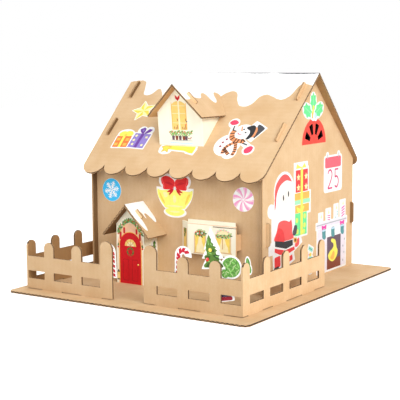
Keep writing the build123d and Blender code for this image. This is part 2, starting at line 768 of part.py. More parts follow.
with BuildPart() as bell_sticker:
    with BuildSketch(wall_plane(bell_x, bell_rise)):
        draw_ovals(bell_oval_shares, bell_height)
        with BuildLine():
            side_points = [(across * bell_height, up * bell_height) for across, up in bell_side_shares]
            other_points = [(-across, up) for across, up in side_points]
            ThreePointArc(*side_points)
            Line(side_points[-1], other_points[-1])
            ThreePointArc(*other_points)
            Line(other_points[0], side_points[0])
        make_face()
    extrude(amount=paper)

# Stickers on the right gable
with BuildPart() as holly_sticker:
    with BuildSketch(gable_plane(house_y + holly_shift, ridge_rise - holly_drop)):
        draw_ovals(holly_oval_shares, holly_width)
        draw_discs(holly_disc_shares, holly_width)
    extrude(amount=paper)

with BuildPart() as calendar_sticker:
    with BuildSketch(gable_plane(gable_back_y - calendar_in, calendar_rise)):
        RectangleRounded(calendar_width + 2 * border, calendar_height + 2 * border, calendar_corner)
        for side in (-1, 1):
            with Locations((side * ring_spread / 2, calendar_height / 2 + ring_radius)):
                Circle(ring_radius + border)
    extrude(amount=paper)

with BuildPart() as father_christmas_sticker:
    with BuildSketch(gable_plane(gable_front_y + father_in, father_rise)):
        draw_discs(father_disc_shares, father_height)
        draw_ovals(father_oval_shares, father_height)
        draw_boxes(father_box_shares, father_height)
    extrude(amount=paper)

with BuildPart() as hearth_sticker:
    with BuildSketch(gable_plane(gable_back_y - hearth_in, hearth_rise)):
        draw_boxes(hearth_box_shares, hearth_width)
    extrude(amount=paper)

with BuildPart() as bauble_sticker:
    with BuildSketch(gable_plane(house_y + bauble_shift, bauble_rise)):
        draw_discs(bauble_disc_shares, bauble_height)
        draw_boxes(bauble_box_shares, bauble_height)
    extrude(amount=paper)

# Sticker on the porch's right side
porch_side = Plane(
    (porch_x + porch_half, front_wall_y - sprig_in, base_top + sprig_rise),
    x_dir=(0, 1, 0),
    z_dir=(1, 0, 0),
)
with BuildPart() as sprig_sticker:
    with BuildSketch(porch_side):
        draw_ovals(sprig_oval_shares, sprig_height)
    extrude(amount=paper)

# Cut-outs glued to the backs of the pickets
behind = board + glue
left_post_x = left_fence_x + front_run - gate_post / 2
near_picket_x = right_fence_x - front_gap - picket / 2
next_picket_x = near_picket_x - front_gap - picket


def picket_plane(x, y, rise, turn=0, layer=0):
    """A sketch plane behind a front picket, or behind another cut-out there."""
    turned = (cos(radians(turn)), 0, sin(radians(turn)))
    back = y + behind + layer * (paper + glue)
    return Plane((x, back, base_top + rise), x_dir=turned, z_dir=(0, -1, 0))


canes = {}
cane_spots = (
    ("left_cane", 1, left_post_x + left_cane_shift, left_fence_y, left_cane_rise),
    ("right_cane", -1, next_picket_x + right_cane_shift, right_fence_y, right_cane_rise),
)
for cane_name, way, cane_x, fence_y, cane_rise in cane_spots:
    with BuildPart() as cane:
        with BuildSketch(picket_plane(cane_x, fence_y, cane_rise)):
            with BuildLine() as cane_line:
                cane_path = [(way * u * cane_height, v * cane_height) for u, v in cane_path_shares]
                foot, bend, crown, hook = cane_path
                Line(foot, bend)
                ThreePointArc(bend, crown, hook)
            trace(line_width=cane_width_share * cane_height + 2 * border)
        extrude(amount=-paper)
    canes[cane_name] = cane
left_cane = canes["left_cane"]
right_cane = canes["right_cane"]

with BuildPart() as tree_cutout:
    with BuildSketch(picket_plane(near_picket_x + tree_shift, right_fence_y, tree_rise, tree_turn)):
        for tier in tree_tier_shares:
            Polygon(*[(across * tree_height, up * tree_height) for across, up in tier])
        draw_boxes(tree_box_shares, tree_height)
    extrude(amount=-paper)

with BuildPart() as sweet_cutout:
    with BuildSketch(picket_plane(right_fence_x - sweet_in, right_fence_y, sweet_rise, layer=1)):
        draw_ovals(sweet_oval_shares, sweet_height)
    extrude(amount=-paper)

leaf_plane = Plane(
    (right_fence_x - behind, right_fence_y + leaf_in, base_top + leaf_rise),
    x_dir=(0, 1, 0),
    z_dir=(1, 0, 0),
)
with BuildPart() as leaf_cutout:
    with BuildSketch(leaf_plane):
        draw_ovals(leaf_oval_shares, leaf_height)
    extrude(amount=-paper)

# Every piece under its own name
pieces = {
    "base_board": base_board,
    "left_gable_wall": left_gable_wall,
    "right_gable_wall": right_gable_wall,
    "front_wall": front_wall,
    "back_wall": back_wall,
    "roof": roof,
    "dormer_body": dormer_body,
    "dormer_roof": dormer_roof,
    "porch_body": porch_body,
    "porch_roof": porch_roof,
    "bay_window": bay_window,
    "left_fence": left_fence,
    "right_fence": right_fence,
    "star_sticker": star_sticker,
    "gifts_sticker": gifts_sticker,
    "comet_sticker": comet_sticker,
    "snowman_sticker": snowman_sticker,
    "snowflake_sticker": snowflake_sticker,
    "peppermint_sticker": peppermint_sticker,
    "bell_sticker": bell_sticker,
    "holly_sticker": holly_sticker,
    "calendar_sticker": calendar_sticker,
    "father_christmas_sticker": father_christmas_sticker,
    "hearth_sticker": hearth_sticker,
    "bauble_sticker": bauble_sticker,
    "sprig_sticker": sprig_sticker,
    "left_cane": left_cane,
    "right_cane": right_cane,
    "tree_cutout": tree_cutout,
    "sweet_cutout": sweet_cutout,
    "leaf_cutout": leaf_cutout,
}
for name, piece in pieces.items():
    piece.part.label = name
    export_step(piece.part, f"parts/{name}.step")
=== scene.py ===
import json
from math import cos, hypot, pi, radians, sin, tan

import bpy
import bmesh
from mathutils import Matrix, Vector


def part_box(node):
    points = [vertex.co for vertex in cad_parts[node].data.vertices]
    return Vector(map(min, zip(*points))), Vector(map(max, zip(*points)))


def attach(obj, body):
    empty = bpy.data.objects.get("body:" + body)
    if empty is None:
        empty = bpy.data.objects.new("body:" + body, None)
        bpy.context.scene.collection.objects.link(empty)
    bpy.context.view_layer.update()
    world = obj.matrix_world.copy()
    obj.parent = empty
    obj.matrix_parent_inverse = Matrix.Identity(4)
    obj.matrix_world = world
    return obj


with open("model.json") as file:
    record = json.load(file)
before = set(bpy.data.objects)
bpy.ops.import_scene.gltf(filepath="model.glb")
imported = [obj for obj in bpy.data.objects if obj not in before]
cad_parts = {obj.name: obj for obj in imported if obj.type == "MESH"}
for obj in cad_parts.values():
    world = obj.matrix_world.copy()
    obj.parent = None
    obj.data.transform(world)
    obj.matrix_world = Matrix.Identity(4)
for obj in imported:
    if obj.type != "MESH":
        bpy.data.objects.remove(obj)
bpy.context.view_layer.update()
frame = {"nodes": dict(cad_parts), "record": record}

# A cardboard Christmas house: print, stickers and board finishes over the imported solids.
# Lengths are millimetres in the solids' own frame until they are written into a mesh or a node.
mm = 0.001


def low(node):
    """Lowest corner of a solid, in millimetres."""
    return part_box(node)[0] / mm


def high(node):
    """Highest corner of a solid, in millimetres."""
    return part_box(node)[1] / mm


# Board, paper and print
board = high("base_board").z
paper = 0.25
glue = 0.3
ink = 0.012  # thickness of one layer of print
flute_pitch = 6.3

# Ways that lines run and faces look
x_way, y_way, z_way = (1, 0, 0), (0, 1, 0), (0, 0, 1)
to_left, to_right, to_front, to_back = (-1, 0, 0), x_way, (0, -1, 0), y_way

# Slopes, ridges and panels of the house
base_top = board
ridge_z = base_top + 268.5
roof_slope = radians(43.0)
roof_panel = 188.5
dormer_slope = radians(44.5)
dormer_lean = radians(6.0)
dormer_foot_down = 134.0
dormer_ridge_z = ridge_z - 12.5
dormer_roof_panel = 59.0
porch_slope = radians(47.5)
porch_ridge_z = base_top + 104.5
porch_roof_panel = 55.0
bay_splay = 16.0
bay_width = 70.5
bay_flap_rise = 2.6
picket = 15.0
picket_gap = 29.3
gate_post = 18.5

# Places read from the solids
gable_x = high("right_gable_wall").x
gable_front_y = low("right_gable_wall").y
gable_back_y = high("right_gable_wall").y
house_y = (gable_front_y + gable_back_y) / 2
front_wall_y = low("front_wall").y
porch_x = (low("porch_body").x + high("porch_body").x) / 2
porch_side_x = high("porch_body").x
porch_front_y = low("porch_body").y
dormer_x = (low("dormer_body").x + high("dormer_body").x) / 2
dormer_foot = (
    dormer_x, house_y - dormer_foot_down * cos(roof_slope), ridge_z - dormer_foot_down * sin(roof_slope)
)
bay_face_y = low("bay_window").y
bay_right_x = high("bay_window").x
bay_left_x = bay_right_x - bay_width
bay_depth = front_wall_y - bay_face_y
bay_low_z = low("bay_window").z
bay_top_z = high("bay_window").z - bay_flap_rise
right_fence_x = high("right_fence").x
right_fence_y = low("right_fence").y
left_fence_y = low("left_fence").y

# Colours as they are seen, red, green and blue from 0 to 255
colours = {
    "kraft": (240, 206, 163),
    "kraft_dark": (226, 186, 138),
    # painted shade: darker kraft for the inner faces, which lie in shade
    "kraft_inside_shade": (214, 166, 112),
    "kraft_edge": (232, 188, 138),
    # painted shade in the hollows between the flutes of a cut edge
    "flute_gap_shade": (46, 32, 24),
    "lemon": (255, 252, 124),
    "snow": (254, 255, 255),
    "cream": (255, 252, 230),
    "paper": (252, 251, 249),
    "red": (232, 34, 36),
    "scarlet": (242, 62, 64),
    "rose": (250, 92, 90),
    "door_red": (212, 14, 30),
    "door_shade": (172, 8, 22),
    "magenta": (214, 48, 110),
    "header": (236, 104, 120),
    "raspberry": (226, 70, 104),
    "sun": (255, 236, 84),
    "pine": (86, 124, 44),
    "pine_dark": (50, 84, 30),
    "pink": (243, 164, 208),
    "pale_pink": (250, 214, 226),
    "hot_pink": (240, 70, 170),
    "white": (253, 253, 253),
    "shade_white": (226, 232, 240),
    "black": (38, 38, 42),
    # painted shade: the dark inside the fan window's holes
    "painted_hole_shade": (34, 16, 14),
    "fan_red": (252, 82, 70),
    "hedge": (132, 176, 108),
    "curtain": (253, 222, 104),
    "cherry": (214, 36, 44),
    "crimson": (196, 18, 46),
    "charcoal": (70, 70, 76),
    "orange": (240, 126, 62),
    "amber": (252, 190, 86),
    "scarf": (232, 152, 102),
    "scarf_dark": (58, 34, 26),
    "carrot": (246, 150, 100),
    "yellow": (255, 244, 100),
    "pale_yellow": (253, 247, 176),
    "gold": (250, 220, 84),
    "lime": (226, 246, 110),
    "mint": (112, 236, 150),
    "pale_mint": (168, 246, 190),
    "aqua": (150, 226, 208),
    "teal": (84, 152, 156),
    "sky": (60, 192, 246),
    "pale_sky": (196, 226, 244),
    "lilac": (150, 132, 206),
    "pale_lilac": (240, 232, 242),
    "pale_peach": (255, 244, 236),
    "violet": (112, 66, 160),
    "plum": (98, 74, 90),
    "leaf": (98, 156, 66),
    "leaf_dark": (62, 116, 48),
    "leaf_light": (146, 206, 110),
    "pale_leaf": (186, 206, 150),
    "moss": (92, 124, 74),
    "brick": (132, 62, 36),
    "bark": (150, 108, 66),
    "wood": (196, 138, 84),
    "wood_pale": (228, 190, 140),
    "glass": (250, 214, 122),
    "glass_pale": (254, 240, 190),
    "peach": (252, 206, 168),
    "grey": (176, 180, 186),
    # painted shade along the roof's fold at the ridge
    "fold": (112, 112, 118),
    "navy": (44, 44, 78),
    "wine": (150, 24, 44),
}


# Short calls for shader nodes
def linear(name):
    """A named colour as linear light, with alpha."""
    shares = [value / 255 for value in colours[name]]
    light = [s / 12.92 if s <= 0.04045 else ((s + 0.055) / 1.055) ** 2.4 for s in shares]
    return (*light, 1.0)


class Graph:
    """A material's node tree, with a short call for each kind of node."""

    def __init__(self, name):
        self.material = bpy.data.materials.new(name)
        self.material.use_nodes = True
        self.tree = self.material.node_tree
        self.shader = self.tree.nodes["Principled BSDF"]
        self.place = self.add("ShaderNodeTexCoord").outputs["Object"]
        self.normal = self.add("ShaderNodeNewGeometry").outputs["True Normal"]

    def add(self, kind):
        return self.tree.nodes.new(kind)

    def put(self, value, socket):
        """Link a socket, or write a plain value."""
        if isinstance(value, bpy.types.NodeSocket):
            self.tree.links.new(value, socket)
        else:
            socket.default_value = value

    def math(self, operation, first, second=0.0):
        node = self.add("ShaderNodeMath")
        node.operation = operation
        self.put(first, node.inputs[0])
        self.put(second, node.inputs[1])
        return node.outputs[0]

    def times(self, first, second):
        return self.math("MULTIPLY", first, second)

    def plus(self, first, second):
        return self.math("ADD", first, second)

    def minus(self, first, second):
        return self.math("SUBTRACT", first, second)

    def most(self, first, second):
        return self.math("MAXIMUM", first, second)

    def even(self, name, value):
        """One value all over the surface, on the shader's own socket."""
        self.shader.inputs[name].default_value = value

    def varied(self, name, value):
        """A value that differs over the surface."""
        self.put(value, self.shader.inputs[name])

    def dot(self, vector, direction):
        node = self.add("ShaderNodeVectorMath")
        node.operation = "DOT_PRODUCT"
        self.put(vector, node.inputs[0])
        self.put(tuple(direction), node.inputs[1])
        return node.outputs["Value"]

    def ramp(self, value, start, stop):
        """Nought at start and one at stop, smooth between."""
        node = self.add("ShaderNodeMapRange")
        node.interpolation_type = "SMOOTHSTEP"
        self.put(value, node.inputs["Value"])
        node.inputs["From Min"].default_value = start
        node.inputs["From Max"].default_value = stop
        return node.outputs["Result"]

    def mix(self, share, first, second):
        node = self.add("ShaderNodeMix")
        node.data_type = "RGBA"
        self.put(share, node.inputs["Factor"])
        self.put(first, node.inputs["A"])
        self.put(second, node.inputs["B"])
        return node.outputs["Result"]

    def stretch(self, scales):
        """The object's own coordinates, each multiplied."""
        node = self.add("ShaderNodeVectorMath")
        node.operation = "MULTIPLY"
        self.put(self.place, node.inputs[0])
        node.inputs[1].default_value = scales
        return node.outputs["Vector"]

    def noise(self, vector, size, detail=3.0):
        """Soft noise with features of about that size, in millimetres."""
        node = self.add("ShaderNodeTexNoise")
        self.put(vector, node.inputs["Vector"])
        node.inputs["Scale"].default_value = 1 / (size * mm)
        node.inputs["Detail"].default_value = detail
        return node.outputs["Fac"]

    def bump(self, height, depth):
        """Bump from a height of nought to one, that many millimetres deep."""
        node = self.add("ShaderNodeBump")
        node.inputs["Distance"].default_value = depth * mm
        self.put(height, node.inputs["Height"])
        self.put(node.outputs["Normal"], self.shader.inputs["Normal"])

    def curve(self, value, points):
        """A smooth function through points given from nought to one both ways."""
        node = self.add("ShaderNodeFloatCurve")
        line = node.mapping.curves[0]
        line.points[0].location = points[0]
        line.points[-1].location = points[-1]
        for point in points[1:-1]:
            line.points.new(*point)
        node.mapping.update()
        self.put(value, node.inputs["Value"])
        return node.outputs["Value"]


# Corrugated board, mostly in shares of its thickness
slab_slack = 0.08
liner_share = 0.08
flute_swing_share = 0.3
flute_width_share = 0.1
face_limit = 0.9  # cosine that tells a face of the sheet from its cut edge

# The look of the board's faces, with sizes and depths in millimetres
fibre_size = 0.7
fibre_stretch = (1.0, 1.0, 0.35)
fibre_detail = 4.0
blotch_size = 26.0
fibre_tone = 0.45
blotch_tone = 0.75
flute_shade = 0.02
worn_tones = (0.3, 0.9)  # from fresh kraft to the darker one
inside_worn_share = 0.85
ink_worn_fibres = (0.16, 0.3)  # from bare board to full print
ink_tones = (0.35, 0.75)  # from full colour to a deeper one
board_roughness = 0.68
fibre_roughness = 0.2
board_gloss = 0.25
flute_relief = 0.35
fibre_relief = 0.5
board_bump = 0.1


def sheet_masks(graph, panel):
    """Masks of one flat panel: its outer face, both its faces, the gaps in its cut edge, and its flutes."""
    normal, spot, across = (Vector(value) for value in panel)
    reach = graph.dot(graph.place, normal)
    depth = graph.math("DIVIDE", graph.minus(reach, normal.dot(spot) * mm), board * mm)
    middle = graph.math("ABSOLUTE", graph.plus(depth, 0.5))
    inside = graph.math("LESS_THAN", middle, 0.5 + slab_slack)
    facing = graph.dot(graph.normal, normal)
    outer = graph.times(inside, graph.math("GREATER_THAN", facing, face_limit))
    inner = graph.times(inside, graph.math("LESS_THAN", facing, -face_limit))
    face = graph.most(outer, inner)
    run = graph.times(graph.dot(graph.place, across), 2 * pi / (flute_pitch * mm))
    wave = graph.math("SINE", run)
    centre = graph.minus(graph.times(wave, flute_swing_share), 0.5)
    away = graph.math("ABSOLUTE", graph.minus(depth, centre))
    flute = graph.ramp(away, flute_width_share, flute_width_share / 2)
    liner = graph.ramp(middle, 0.5 - liner_share, 0.5 - liner_share / 2)
    gap = graph.times(inside, graph.minus(1.0, graph.most(flute, liner)))
    return {"outer": outer, "face": face, "gap": gap, "wave": graph.times(wave, face)}


def join(masks, part, both):
    """One of the masks of every panel, joined two at a time."""
    total = masks[0][part]
    for mask in masks[1:]:
        total = both(total, mask[part])
    return total


def kraft_faces(graph, masks, outer, worn_share, tones_with_shade, inside_shade_share):
    """Kraft of each panel's own tone outside, darkened by its share of painted shade, and a darker one
    inside, painted shade for the inner faces.
    """
    # Each panel's kraft darkened by its share: partly the board's own tone, partly painted shade
    kraft = graph.mix(worn_share, deeper("kraft", tones_with_shade[0]), deeper("kraft_dark", tones_with_shade[0]))
    for mask, tone in zip(masks[1:], tones_with_shade[1:]):
        panel_kraft = graph.mix(worn_share, deeper("kraft", tone), deeper("kraft_dark", tone))
        kraft = graph.mix(mask["outer"], kraft, panel_kraft)
    # Inner faces darkened by the sheet's share of painted shade
    fresh = deeper("kraft_inside_shade", inside_shade_share)
    worn = deeper("kraft_inside_shade", inside_worn_share * inside_shade_share)
    return graph.mix(outer, graph.mix(worn_share, fresh, worn), kraft)


def board_finish(name, panels, prints_and_shade, tones_with_shade, inside_shade_share, gap_shade_share):
    """Kraft board, with flute ends in its cut edges and painted shade in the gaps between them, painted shade
    in the tone of its faces, and print on its outer faces.
    """
    graph = Graph(name)
    masks = [sheet_masks(graph, panel) for panel in panels]
    face, gap, outer = (join(masks, part, graph.most) for part in ("face", "gap", "outer"))
    wave = join(masks, "wave", graph.plus)
    fibre = graph.noise(graph.stretch(fibre_stretch), fibre_size, fibre_detail)
    blotch = graph.noise(graph.place, blotch_size)
    tone = graph.plus(graph.times(fibre, fibre_tone), graph.times(blotch, blotch_tone))
    tone = graph.plus(tone, graph.times(wave, flute_shade))
    kraft = kraft_faces(graph, masks, outer, graph.ramp(tone, *worn_tones), tones_with_shade, inside_shade_share)
    # Painted shade in the gaps between the flutes, as deep as the sheet's share
    edge = graph.mix(graph.times(gap, gap_shade_share), linear("kraft_edge"), linear("flute_gap_shade"))
    colour = graph.mix(face, edge, kraft)
    # The list holds print and painted shade: the fan window's holes and the roof's fold
    for print_and_shade_name, make_mask, is_edge in prints_and_shade:
        side = graph.minus(1.0, outer) if is_edge else outer
        mask = graph.times(make_mask(graph, masks), side)
        worn = graph.times(mask, graph.ramp(fibre, *ink_worn_fibres))
        tint = graph.mix(graph.ramp(blotch, *ink_tones), linear(print_and_shade_name), deeper(print_and_shade_name))
        colour = graph.mix(worn, colour, tint)
    graph.varied("Base Color", colour)
    graph.varied("Roughness", graph.plus(graph.times(fibre, fibre_roughness), board_roughness))
    graph.even("Specular IOR Level", board_gloss)
    relief = graph.plus(graph.times(wave, flute_relief), graph.times(fibre, fibre_relief))
    relief = graph.minus(relief, graph.times(gap, graph.minus(1.0, face)))
    graph.bump(relief, board_bump)
    return graph.material


def deeper(name, share=0.93):
    """A named colour a little darker."""
    return (*[value * share for value in linear(name)[:3]], 1.0)


def under_roof(middle_x, top_z, slope):
    """Print over every outer face below a roof along Y, so that the tabs through it stay plain."""

    def make_mask(graph, masks):
        aside = graph.minus(graph.dot(graph.place, x_way), middle_x * mm)
        fall = graph.times(graph.math("ABSOLUTE", aside), tan(slope))
        return graph.math("LESS_THAN", graph.dot(graph.place, z_way), graph.minus(top_z * mm, fall))

    return make_mask


def printed_panels(*numbers):
    """Print over some of a sheet's panels, by their numbers."""

    def make_mask(graph, masks):
        return join([masks[number] for number in numbers], "outer", graph.most)

    return make_mask


# The snow's edge: the size of its raggedness, how far it strays and how soft it is, down the panel
ragged_size = 5.0
ragged_share = 0.012
soft_share = 0.006


def snow_and_fold_shade_mask(node, way, top_z, slope, panel, line):
    """Print from a roof's ridge down to a wavy line: the snow, and the painted shade along the roof's fold;
    in thousandths along the ridge and down the panel.
    """
    shares = [(along / 1000, down / 1000) for along, down in line]
    start, stop = low(node).dot(Vector(way)), high(node).dot(Vector(way))

    def make_mask(graph, masks):
        along = graph.minus(graph.dot(graph.place, way), start * mm)
        along = graph.math("DIVIDE", along, (stop - start) * mm)
        height = graph.minus(top_z * mm, graph.dot(graph.place, z_way))
        down = graph.math("DIVIDE", height, panel * sin(slope) * mm)
        ragged = graph.times(graph.noise(graph.place, ragged_size), ragged_share)
        edge = graph.plus(graph.curve(along, shares), ragged)
        return graph.ramp(graph.minus(edge, down), 0.0, soft_share)

    return make_mask


def fan_mask(middle_y, foot_z, radius):
    """Half-round mask about the fan window, for its red print and the painted shade on its holes."""

    def make_mask(graph, masks):
        aside = graph.minus(graph.dot(graph.place, y_way), middle_y * mm)
        above = graph.minus(graph.dot(graph.place, z_way), foot_z * mm)
        square = graph.plus(graph.times(aside, aside), graph.times(above, above))
        round_part = graph.math("LESS_THAN", graph.math("SQRT", square), radius * mm)
        return graph.times(round_part, graph.math("GREATER_THAN", above, 0.0))

    return make_mask


# Snow lines, in thousandths along the ridge and down the panel
roof_snow_line = (
    (0, 100), (50, 83), (85, 88), (108, 155), (130, 232), (165, 224), (195, 168), (220, 200), (250, 250),
    (300, 210), (380, 240), (460, 200), (540, 250), (580, 200), (615, 184), (635, 200), (660, 280),
    (700, 330), (735, 312), (765, 232), (790, 212), (830, 232), (875, 259), (910, 224), (940, 115),
    (965, 108), (1000, 128),
)
# Painted shade along the roof's fold, a thin band just under the ridge
roof_fold_shade_line = (
    (0, 0), (480, 0), (530, 3), (600, 2), (650, 6), (740, 6), (770, 0), (800, 7), (1000, 7),
)
dormer_snow_line = (
    (0, 460), (80, 470), (200, 410), (294, 450), (350, 450), (420, 340), (480, 310), (520, 360), (545, 550),
    (590, 610), (640, 560), (690, 380), (740, 310), (800, 340), (860, 470), (940, 420), (1000, 400),
)
porch_snow_line = (
    (0, 300), (60, 580), (140, 760), (200, 800), (270, 660), (310, 380), (360, 260), (460, 250), (510, 330),
    (545, 480), (590, 360), (660, 340), (720, 380), (790, 500), (860, 620), (930, 600), (1000, 470),
)

# How light a sheet's outer faces are, with one share for all its panels or one for each: partly the
# board's own tone and partly painted shade, darker where a face lies in shade, as the front wall under
# the eave and the fences' front runs; how light its inner side is, painted shade for inner faces; and
# how dark the painted shade is in the gaps between the flutes of its cut edges
plain_look = ((1.0,), 1.0, 0.6)
sheet_looks = {
    "base_board": ((0.82,), 1.0, 1.0),
    "left_gable_wall": ((1.0,), 0.3, 0.6),
    "right_gable_wall": ((0.92,), 0.45, 0.6),
    "front_wall": ((0.76,), 0.4, 0.6),
    "back_wall": ((1.0,), 0.4, 0.6),
    "roof": ((0.83,), 0.62, 0.9),
    "dormer_roof": ((0.86,), 0.9, 0.9),
    "porch_roof": ((0.72,), 0.3, 0.8),
    "left_fence": ((0.72, 0.9), 0.55, 1.0),
    "right_fence": ((0.7, 1.0), 0.6, 1.0),
}

# The print and the painted hole shade about the fan window: behind the gable's middle, above the base, and
# its radius
fan_shift = 8.0
fan_rise = 177.0
fan_print_and_shade_radius = 33.0


def slope_panels(spot, slope, along_y):
    """The two panels of a folded roof, its ridge along X, or along Y."""
    lean, level = sin(slope), cos(slope)
    if along_y:
        return [((side * lean, 0, level), spot, y_way) for side in (-1, 1)]
    return [((0, side * lean, level), spot, (0, -side * level, lean)) for side in (-1, 1)]


def porch_roof_panels():
    """The porch roof's panels, whose flutes run along its ridge."""
    panels = slope_panels((porch_x, 0, porch_ridge_z), porch_slope, True)
    return [(face, spot, (-face[2], 0, face[0])) for face, spot, _ in panels]


def bay_panels():
    """The bay's face, its splayed end, its top flap and its right end."""
    splay_length = hypot(bay_splay, bay_depth)
    splay = (-bay_depth / splay_length, -bay_splay / splay_length, 0)
    flap_length = hypot(bay_depth, bay_flap_rise)
    flap = (0, -bay_flap_rise / flap_length, bay_depth / flap_length)
    return [
        (to_front, (0, bay_face_y, 0), x_way),
        (splay, (bay_left_x, bay_face_y, 0), x_way),
        (flap, (0, bay_face_y, bay_top_z), x_way),
        (to_right, (bay_right_x, 0, 0), y_way),
    ]


def side_panels(node):
    """The left and right sides of a folded body."""
    return [(to_left, low(node), y_way), (to_right, high(node), y_way)]


def sheet_panels():
    """Each sheet's panels: the way its face looks, a spot on it, and the way across its flutes."""
    dormer_face = (0, -cos(dormer_lean), -sin(dormer_lean))
    return {
        "base_board": [(z_way, high("base_board"), x_way)],
        "left_gable_wall": [(to_left, low("left_gable_wall"), y_way)],
        "right_gable_wall": [(to_right, high("right_gable_wall"), y_way)],
        "front_wall": [(to_front, low("front_wall"), x_way)],
        "back_wall": [(to_back, high("back_wall"), x_way)],
        "roof": slope_panels((0, house_y, ridge_z), roof_slope, False),
        "dormer_body": [(dormer_face, dormer_foot, x_way), *side_panels("dormer_body")],
        "dormer_roof": slope_panels((dormer_x, 0, dormer_ridge_z), dormer_slope, True),
        "porch_body": [(to_front, low("porch_body"), x_way), *side_panels("porch_body")],
        "porch_roof": porch_roof_panels(),
        "bay_window": bay_panels(),
        "left_fence": [(to_front, low("left_fence"), x_way), (to_left, low("left_fence"), y_way)],
        "right_fence": [(to_front, low("right_fence"), x_way), (to_right, high("right_fence"), y_way)],
    }


def sheet_prints_and_shade():
    """The print and painted shade on each sheet: a colour, its mask, and whether it lies on the cut edges."""
    fan = fan_mask(house_y + fan_shift, base_top + fan_rise, fan_print_and_shade_radius)
    main_roof = ("roof", x_way, ridge_z, roof_slope, roof_panel)
    dormer_roof = ("dormer_roof", y_way, dormer_ridge_z, dormer_slope, dormer_roof_panel)
    porch_roof = ("porch_roof", y_way, porch_ridge_z, porch_slope, porch_roof_panel)
    return {
        # The fan's red print, and painted shade on the cut edges and inner face of its holes
        "right_gable_wall": [("fan_red", fan, False), ("painted_hole_shade", fan, True)],
        "roof": [
            ("snow", snow_and_fold_shade_mask(*main_roof, roof_snow_line), False),
            # Painted shade along the roof's fold
            ("fold", snow_and_fold_shade_mask(*main_roof, roof_fold_shade_line), False),
        ],
        "dormer_roof": [("snow", snow_and_fold_shade_mask(*dormer_roof, dormer_snow_line), False)],
        "porch_roof": [("snow", snow_and_fold_shade_mask(*porch_roof, porch_snow_line), False)],
        "dormer_body": [("cream", under_roof(dormer_x, dormer_ridge_z, dormer_slope), False)],
        "porch_body": [("cream", under_roof(porch_x, porch_ridge_z, porch_slope), False)],
        "bay_window": [("cream", printed_panels(0, 1, 2), False)],
    }


def finish_board_nodes():
    """Give every board solid its own board finish, from where its sheet's panels lie."""
    prints_and_shade = sheet_prints_and_shade()
    for node, panels in sheet_panels().items():
        look = sheet_looks.get(node, plain_look)
        dress_node(node, board_finish(node + "_finish", panels, prints_and_shade.get(node, ()), *look))


def dress_node(node, material):
    """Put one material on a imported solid."""
    slots = frame["nodes"][node].data.materials
    slots.clear()
    slots.append(material)


# Coated paper and print, with sizes and depths in millimetres
mottle_size = 3.5
mottle_detail = 4.0
mottle_tones = (0.35, 0.8)
mottle_share = 0.9
tooth_size = 0.5
tooth_detail = 2.0
tooth_roughness = 0.15
tooth_bump = 0.02
coat_gloss = 0.35
paper_roughness = 0.45
print_roughness = 0.5


def paper_finish(name, colour_name, roughness):
    """Coated paper: an even colour with faint mottling and a soft tooth."""
    graph = Graph(name)
    mottle = graph.noise(graph.place, mottle_size, mottle_detail)
    tooth = graph.noise(graph.place, tooth_size, tooth_detail)
    share = graph.ramp(mottle, *mottle_tones)
    graph.varied("Base Color", graph.mix(share, linear(colour_name), deeper(colour_name, mottle_share)))
    graph.varied("Roughness", graph.plus(graph.times(tooth, tooth_roughness), roughness))
    graph.even("Specular IOR Level", coat_gloss)
    graph.bump(tooth, tooth_bump)
    return graph.material


def finish_paper_nodes():
    """White coated paper for every sticker and cut-out."""
    coated = paper_finish("sticker_paper_finish", "paper", paper_roughness)
    for part in frame["record"]["subparts"]:
        if part["material_slot"] == "sticker_paper":
            dress_node(part["node"], coated)


ink_finishes = {}


def ink_finish(colour_name):
    """The print in one colour, made once."""
    if colour_name not in ink_finishes:
        ink_finishes[colour_name] = paper_finish("print_" + colour_name, colour_name, print_roughness)
    return ink_finishes[colour_name]


# Outlines, as points across and up
def disc(across, up, radius, sides=32):
    return oval(across, up, 2 * radius, 2 * radius, 0, sides)


def oval(across, up, width, height, turn=0, sides=32, waist=1.0):
    """An oval, or with a waist one whose every second point is pulled in to that share."""
    points = []
    for n in range(sides):
        angle = 2 * pi * n / sides
        reach = waist if n % 2 else 1.0
        points.append((width / 2 * reach * cos(angle), height / 2 * reach * sin(angle)))
    return moved(points, across, up, turn)


def box(across, up, width, height, turn=0):
    corners = ((-1, -1), (1, -1), (1, 1), (-1, 1))
    return moved([(u * width / 2, v * height / 2) for u, v in corners], across, up, turn)


def smooth_box(across, up, width, height, corner, turn=0):
    """A box with round corners."""
    points = []
    for corner_u, corner_v, start in ((1, 1, 0), (-1, 1, 90), (-1, -1, 180), (1, -1, 270)):
        for n in range(5):
            angle = radians(start + 90 * n / 4)
            u = corner_u * (width / 2 - corner) + corner * cos(angle)
            v = corner_v * (height / 2 - corner) + corner * sin(angle)
            points.append((u, v))
    return moved(points, across, up, turn)


def moved(points, across, up, turn=0, scale=1):
    """An outline turned in degrees, scaled and shifted."""
    level, lean = cos(radians(turn)), sin(radians(turn))
    return [
        (across + scale * (u * level - v * lean), up + scale * (u * lean + v * level))
        for u, v in points
    ]


def mirrored(points):
    """An outline with left and right changed over."""
    return [(-u, v) for u, v in reversed(points)]


def pair(points):
    """An outline and its mirror."""
    return points, mirrored(points)


def star(across, up, reach, waist):
    """A star of five points."""
    return oval(across, up, 2 * reach, 2 * reach, 90, 10, waist / reach)


def spline_point(p0, p1, p2, p3, t):
    """A point between the second and third of four points, on a smooth curve."""
    return tuple(
        0.5 * (2 * b + (c - a) * t + (2 * a - 5 * b + 4 * c - d) * t * t + (3 * b - a - 3 * c + d) * t ** 3)
        for a, b, c, d in zip(p0, p1, p2, p3)
    )


def smooth(points, steps=5):
    """A smooth closed outline through some points."""
    count = len(points)
    return [
        spline_point(points[n - 1], points[n], points[(n + 1) % count], points[(n + 2) % count], step / steps)
        for n in range(count)
        for step in range(steps)
    ]


